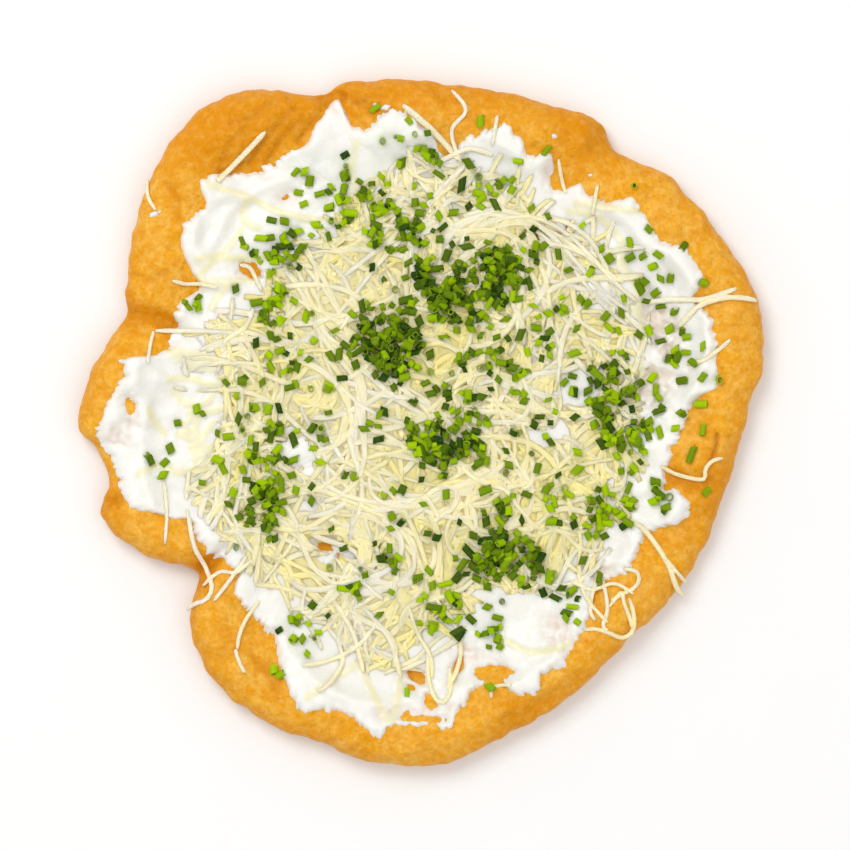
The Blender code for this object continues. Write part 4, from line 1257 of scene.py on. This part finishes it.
    def build(self, packed: bpy.types.Material, loose: bpy.types.Material) -> list[bpy.types.Object]:
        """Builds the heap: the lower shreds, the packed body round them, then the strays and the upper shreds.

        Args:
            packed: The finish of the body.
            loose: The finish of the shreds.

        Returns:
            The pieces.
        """
        draw = np.random.default_rng(self.seed)
        ground = self.terrain
        under = ground.z.copy()
        lumps = 0.8 + waves(ground.x, ground.y, *self.lumps)
        ground.z += self.packed(ground.x, ground.y) * np.maximum(lumps, 0.1)
        ground.crest = ground.z.copy()
        lower, upper = Shreds(), Shreds()
        self.strew(draw, self.layers[0], lower)
        bed = self.build_bed(under, packed)
        for layer in self.layers[1:]:
            self.strew(draw, layer, upper)
        for stray in self.strays:
            route = self.lay(bent_line(stray.line, 60), self.stray_thickness, stray.width, Lie.RESTING, 0.6)
            tone = draw.uniform(0, 0.3)
            upper.add(route[::3], stray.width, self.stray_thickness, draw.normal(0, 0.5), tone, stray.ends)
        log.info("shreds: %d and %d faces", len(lower.faces), len(upper.faces))
        made = [lower.build("lower_shreds"), upper.build("upper_shreds")]
        return [bed, *(self.dress(piece, loose) for piece in made)]

    def dress(self, piece: bpy.types.Object, material: bpy.types.Material) -> bpy.types.Object:
        """Gives a piece the cheese's finish and its place. Returns it."""
        piece.data.materials.append(material)
        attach(piece, BODY)
        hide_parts("grated_cheese")
        return piece


# The chives


@dataclass(frozen=True)
class Sprinkle:
    """A scattering of chives: its middle, its spread and how many."""

    x: float
    y: float
    spread: float
    pieces: int
    longer: float = 1.0
    # below 1 it darkens its pieces, as painted shade in deep places of the heap
    bright: float = 1.0


@dataclass
class Chives:
    """Chopped chives: short hollow stalks, heaped in some places and scattered in others."""

    cheese: Cheese
    terrain: Terrain
    sprinkles: tuple[Sprinkle, ...] = each(
        Sprinkle,
        # the first four, at 0.02, are near-black pieces put as painted shade in deep holes of the heap; the darker
        # clumps are painted shade too
        (1, 52.5, 2.4, 9, 1, 0.02), (7, 43.5, 2.6, 10, 1, 0.02), (25, 58, 2.8, 10, 1, 0.02),
        (-2.5, 30, 2.2, 8, 1, 0.02), (-13, 27.5, 8.5, 105, 1, 0.75), (-6, 22, 6, 14), (12.5, 45, 9, 64, 1, 0.9),
        (28, 55.5, 8, 40, 1, 0.8), (27, 48, 7, 26, 1, 0.8), (29, -47, 9.5, 85, 1, 0.95), (12.5, -8, 8, 46),
        (2, -6, 6, 22), (66.5, 12.5, 8, 42), (-54, -9, 7, 26), (-55, -30, 8, 36), (-50, -22, 6, 10), (2, 62, 8, 28),
        (-25, 81, 9, 22), (-12, 71, 8, 22), (-51, 40, 6, 16), (9, -66, 7, 20, 1.6), (70, -8, 7, 20), (63, -30, 9, 24),
        (84, -24, 5, 12), (3.5, 89, 6, 10), (0, 97, 6, 8), (28, 81, 7, 12), (-79, 43, 3.4, 8), (-45, 65, 6, 12),
        (-50, 56, 8, 14), (-46, 22, 9, 16), (-62, 6, 7, 8), (30, 20, 9, 20), (8, 14, 7, 12), (20, 4, 6, 10),
        (-34, -4, 9, 8), (-26, -56, 5, 9), (-42, -72, 7, 12), (44, -28, 10, 14), (48, -62, 8, 10), (24, -74, 6, 8),
        (78, 0, 8, 12), (46, 33, 9, 14), (50, 60, 8, 8), (-8, -50, 9, 9), (-10, -32, 9, 7), (0, 0, 58, 90),
        (20, 40, 40, 30), (60, -10, 24, 20),
    )  # fmt: skip
    singles: tuple[tuple[float, float, float, float], ...] = (
        (74.5, 82.6, 2.6, 0.1), (104.3, 15, 2.6, 0.15), (98, 6.5, 4.5, 1.0), (98.5, -2.5, 4.0, 1.0),
        (94.5, -11, 5.8, 1.0), (44, 94.8, 4.0, 1.0), (-15.7, 109.5, 4.0, 1.0), (21, 105, 4.0, 1.0),
        (99.8, -24, 3.6, 1.0), (-48.5, -87.5, 3.2, 1.0), (-51, -86, 3.0, 1.0), (-4.5, -94, 3.4, 1.0),
        (24.5, -92, 3.0, 1.0), (-31, 70.5, 4.0, 0.2), (-13, 98, 2.8, 0.1), (-8.5, 99.5, 2.6, 0.1),
    )  # fmt: skip
    loose: Pairs = (
        (-84.6, 0), (-87.2, -8.9), (-94.8, -11.5), (-89.1, -13.8), (-89.6, -18.2), (-77.9, 4.9), (-76, -20.8),
        (-68.6, -16.1), (-40.3, 87.7), (-38.5, 84.5), (-42.4, 80.5), (-35, 80), (-40.6, 76.4), (-51.8, 70.8),
        (-61.3, 61.7), (-57.6, 59.3), (-64.4, 46.9), (79.6, 67.5), (73.1, 63), (91.7, 61.4), (82.9, 58.5),
        (77.8, 58.2), (73.3, 57.7), (81.2, 54.5), (87.3, 50.5), (98.5, 48.8), (83.8, 50.3), (78.1, 49.3), (82.4, 45.5),
        (78.9, 42.5), (84.2, 40.7), (88.9, 39), (66.1, 57.4), (71.1, 43.5), (58.3, 41.5), (64.7, 37.2), (70.3, 38.5),
        (65.8, 33.4), (69.3, 32.1), (76.4, 30.9), (80, 32.3), (84.2, 28.6), (87.2, 32.8), (91.5, 31.9), (93, 30),
        (89.4, 25.3), (90, 23), (92.7, 24.6), (98.5, 26.7), (95.2, 21), (88.6, 20.7), (87, 22.5), (98.3, 15.9),
        (91.5, 14.8), (81.2, 15.8), (82.4, 11.5), (75.8, 9),
    )  # fmt: skip
    sides: int = 9
    wall: float = 0.22
    ceiling: float = 21.2
    plenty: float = 1.16
    hole_margin: float = 0.8
    edge_margin: float = 6.0
    seed: int = 21

    def stalk(self) -> tuple[Array, list, Array]:
        """Models one stalk as by hand: a cylinder hollowed from end to end.

        Returns:
            Its corners for a radius and a length of 1, its faces, and which corners are cut edges.
        """
        bpy.ops.object.select_all(action="DESELECT")
        bpy.ops.mesh.primitive_cylinder_add(vertices=self.sides, radius=1, depth=1, location=(0, 0, 0))
        stalk = bpy.context.object
        bpy.ops.object.mode_set(mode="EDIT")
        bpy.ops.mesh.select_mode(type="FACE")
        bpy.ops.mesh.select_all(action="DESELECT")
        bpy.ops.object.mode_set(mode="OBJECT")
        for face in stalk.data.polygons:
            face.select = abs(face.normal.z) > 0.5
        bpy.ops.object.mode_set(mode="EDIT")
        bpy.ops.mesh.inset(thickness=self.wall, use_individual=True)
        bpy.ops.mesh.bridge_edge_loops()
        bpy.ops.object.mode_set(mode="OBJECT")
        points = np.array([v.co for v in stalk.data.vertices])
        faces = [list(face.vertices) for face in stalk.data.polygons]
        inner = np.hypot(points[:, 0], points[:, 1]) < 1 - self.wall / 2
        bpy.data.objects.remove(stalk)
        return points, faces, inner.astype(float)

    def spots(self, draw: np.random.Generator) -> Iterator[tuple[float, float, float, float, float]]:
        """Where each stalk lies: x, y, its length, its lean, 1 when lying down, and its brightness."""
        yield from ((*single, draw.uniform(0.3, 1)) for single in self.singles)
        yield from ((x, y, draw.uniform(2.4, 3.8), 1.0, draw.uniform(0.2, 1)) for x, y in self.loose)
        for sprinkle in self.sprinkles:
            count = round(sprinkle.pieces * self.plenty)
            for i in range(count):
                x, y = draw.normal((sprinkle.x, sprinkle.y), sprinkle.spread * 0.7)
                length = float(np.clip(draw.gamma(9, 0.30), 1.6, 5.2)) * draw.uniform(1, sprinkle.longer)
                lean = 0.12 if draw.uniform() < 0.06 else 1.0
                # in a big sprinkle the pieces laid first, lower down, are darker: painted shade
                buried = 1 - (i + 1) / count if count > 30 else 0.0
                tone = draw.beta(0.9, 0.65) * sprinkle.bright * (1 - 0.85 * buried)
                if self.cheese.cream.outline.inset(np.array([x]), np.array([y]))[0] > 1:
                    yield x, y, length, lean, tone

    def build(self, material: bpy.types.Material) -> bpy.types.Object:
        """Lays the stalks and dresses them.

        Args:
            material: The chives' finish.

        Returns:
            All of them as one piece.
        """
        draw = np.random.default_rng(self.seed)
        shape, shape_faces, inner = self.stalk()
        points, faces, tones, cuts = [], [], [], []
        for x, y, length, lean, tone in self.spots(draw):
            spot = np.array([x]), np.array([y])
            hole = min(patch.outside(*spot)[0] for patch in self.cheese.cream.holes)
            if hole < self.hole_margin or self.cheese.cream.dough.outline.inset(*spot)[0] < self.edge_margin:
                continue
            radius = 0.85 + 0.72 * draw.beta(2, 2.4)
            heading = draw.uniform(0, 2 * math.pi)
            flat = np.array([math.cos(heading), math.sin(heading)]) * length / 2
            ends = self.terrain.at(np.array([x - flat[0], x + flat[0]]), np.array([y - flat[1], y + flat[1]]))
            slope = np.clip((ends[1] - ends[0]) / length, -0.8, 0.8) + draw.normal(0, 0.12)
            axis = np.array([*(flat * lean), length / 2 * (slope * lean + math.sqrt(max(0, 1 - lean * lean)))])
            axis /= np.linalg.norm(axis)
            along = np.linspace(-0.5, 0.5, 5)[:, None] * axis * length
            under = self.terrain.at(x + along[:, 0], y + along[:, 1])
            squash = draw.uniform(0.75, 1.0)
            lift = radius * squash * math.hypot(axis[0], axis[1]) - 0.3
            height = float(np.max(under - along[:, 2]) * 0.6 + np.mean(under - along[:, 2]) * 0.4) + lift
            height = min(height, self.ceiling - radius - abs(axis[2]) * length / 2)
            side = np.cross([0, 0, 1.0] if abs(axis[2]) < 0.9 else [1.0, 0, 0], axis)
            side /= np.linalg.norm(side)
            up = np.cross(axis, side)
            bevel = draw.normal(0, 0.3)
            local_z = shape[:, 2] * length + shape[:, 0] * bevel * radius
            body = side * shape[:, :1] * radius + up * shape[:, 1:2] * radius * squash + axis * local_z[:, None]
            offset = len(points) * len(shape)
            points.append(body + [x, y, height])
            faces += [[c + offset for c in face] for face in shape_faces]
            tones.append(np.full(len(shape), tone))
            cuts.append(inner * 0.8)
            spread = np.array([-0.8, -0.4, 0, 0.4, 0.8])
            foot_x = x + along[:, :1] + spread * side[0] * radius
            foot_y = y + along[:, 1:2] + spread * side[1] * radius
            crown = height + along[:, 2:] + 0.45 * radius * np.ones(5)
            self.terrain.raise_to(foot_x, foot_y, crown)
        log.info("chives: %d stalks", len(points))
        marks = {"tone": np.concatenate(tones), "cut": np.concatenate(cuts)}
        made = make_object("chives", np.vstack(points), faces, **marks)
        self.smooth_walls(made)
        made.data.materials.append(material)
        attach(made, BODY)
        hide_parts("grated_cheese")
        return made

    def smooth_walls(self, piece: bpy.types.Object) -> None:
        """Keeps the walls round and the cut edges sharp."""
        bpy.ops.object.select_all(action="DESELECT")
        piece.select_set(True)
        bpy.context.view_layer.objects.active = piece
        bpy.ops.object.shade_smooth_by_angle(angle=math.radians(SHARP_FROM))


# The studio


@dataclass
class Studio:
    """A pale floor, soft light from the upper left, and a camera straight above."""

    frame_width: float = 0.2975
    aim: tuple[float, float, float] = (0.00175, -0.0007, 0.008)
    distance: float = 1.5

    def build(self, material: bpy.types.Material) -> None:
        """Builds the floor, the lights and the camera."""
        bpy.ops.object.select_all(action="DESELECT")
        bpy.ops.mesh.primitive_plane_add(size=4, location=(0, 0, 0))
        floor = bpy.context.object
        floor.name = "floor"
        floor.data.materials.append(material)
        self.lamp("key", (-0.5, 0.65, 1.3), 0.7, 9.5, (1.0, 0.985, 0.96))
        self.lamp("fill", (0.6, -0.5, 1.4), 1.6, 4.5, (1.0, 0.99, 0.97))
        self.world(0.68)
        self.camera()
        bpy.context.scene.view_settings.view_transform = "Standard"

    def lamp(self, name: str, place: tuple[float, float, float], size: float, power: float, colour: Colour) -> None:
        """Adds a square soft light that shines on the middle."""
        light = bpy.data.lights.new(name, "AREA")
        light.size, light.energy, light.color = size, power, colour
        lamp = bpy.data.objects.new(name, light)
        lamp.location = place
        lamp.rotation_euler = (-Vector(place)).to_track_quat("-Z", "Y").to_euler()
        lamp.visible_camera = False
        bpy.context.scene.collection.objects.link(lamp)

    def world(self, strength: float) -> None:
        """Adds an even white surrounding light."""
        world = bpy.data.worlds.new("studio")
        world.use_nodes = True
        world.node_tree.nodes["Background"].inputs["Color"].default_value = (1, 1, 1, 1)
        world.node_tree.nodes["Background"].inputs["Strength"].default_value = strength
        bpy.context.scene.world = world

    def camera(self) -> None:
        """Adds the camera, level with the photograph's frame."""
        data = bpy.data.cameras.new("camera")
        data.sensor_width = 36
        data.lens = 36 * self.distance / self.frame_width
        camera = bpy.data.objects.new("camera", data)
        camera.location = Vector(self.aim) + Vector((0, 0, self.distance))
        data.clip_start, data.clip_end = 0.05, 20
        bpy.context.scene.collection.objects.link(camera)
        bpy.context.scene.camera = camera


def main() -> None:
    """Builds the dressed flatbread."""
    logging.basicConfig(level=logging.INFO, format="%(name)s: %(message)s")
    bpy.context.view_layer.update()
    mottle, pores = mottle_group(), pore_group()
    Studio().build(FloorFinish("floor", roughness=0.9, shine=0.2).make(mottle))

    dough = Dough()
    crust = CrustFinish("fried_dough", roughness=0.4, shine=0.11, glow=0.1, glow_depth=(0.003, 0.0014, 0.0003))
    dough.build(crust.make(mottle, pores))
    cream = Cream(dough)
    white = CreamFinish("soured_cream", roughness=0.3, shine=0.5, glow=0.5, glow_depth=(0.003, 0.0029, 0.0026))
    cream.build(white.make(mottle))
    log.info("bread and cream made")

    terrain = Terrain()
    depth, _ = cream.thickness(terrain.x, terrain.y)
    terrain.z = dough.top(terrain.x, terrain.y) + np.maximum(depth, 0)
    terrain.z[dough.outline.inset(terrain.x, terrain.y) < 0] = GROUND_BEYOND
    cheese = Cheese(cream, terrain)
    soft = (0.0035, 0.0030, 0.0010)
    packed = CheeseFinish("packed_cheese", roughness=0.45, shine=0.3, glow=0.7, glow_depth=soft, spread="BURLEY")
    loose = CheeseFinish("grated_cheese", roughness=0.4, shine=0.3, glow=0.6, glow_depth=soft, spread="BURLEY")
    cheese.build(packed.make(mottle), loose.make(mottle))
    chives = Chives(cheese, terrain)
    green = ChiveFinish("chives", roughness=0.36, shine=0.06, glow=0.12, glow_depth=(0.0008, 0.0012, 0.0002))
    chives.build(green.make(mottle))
    log.info("toppings laid, highest at %.1f mm", terrain.z.max())


if __name__ == "__main__":
    main()
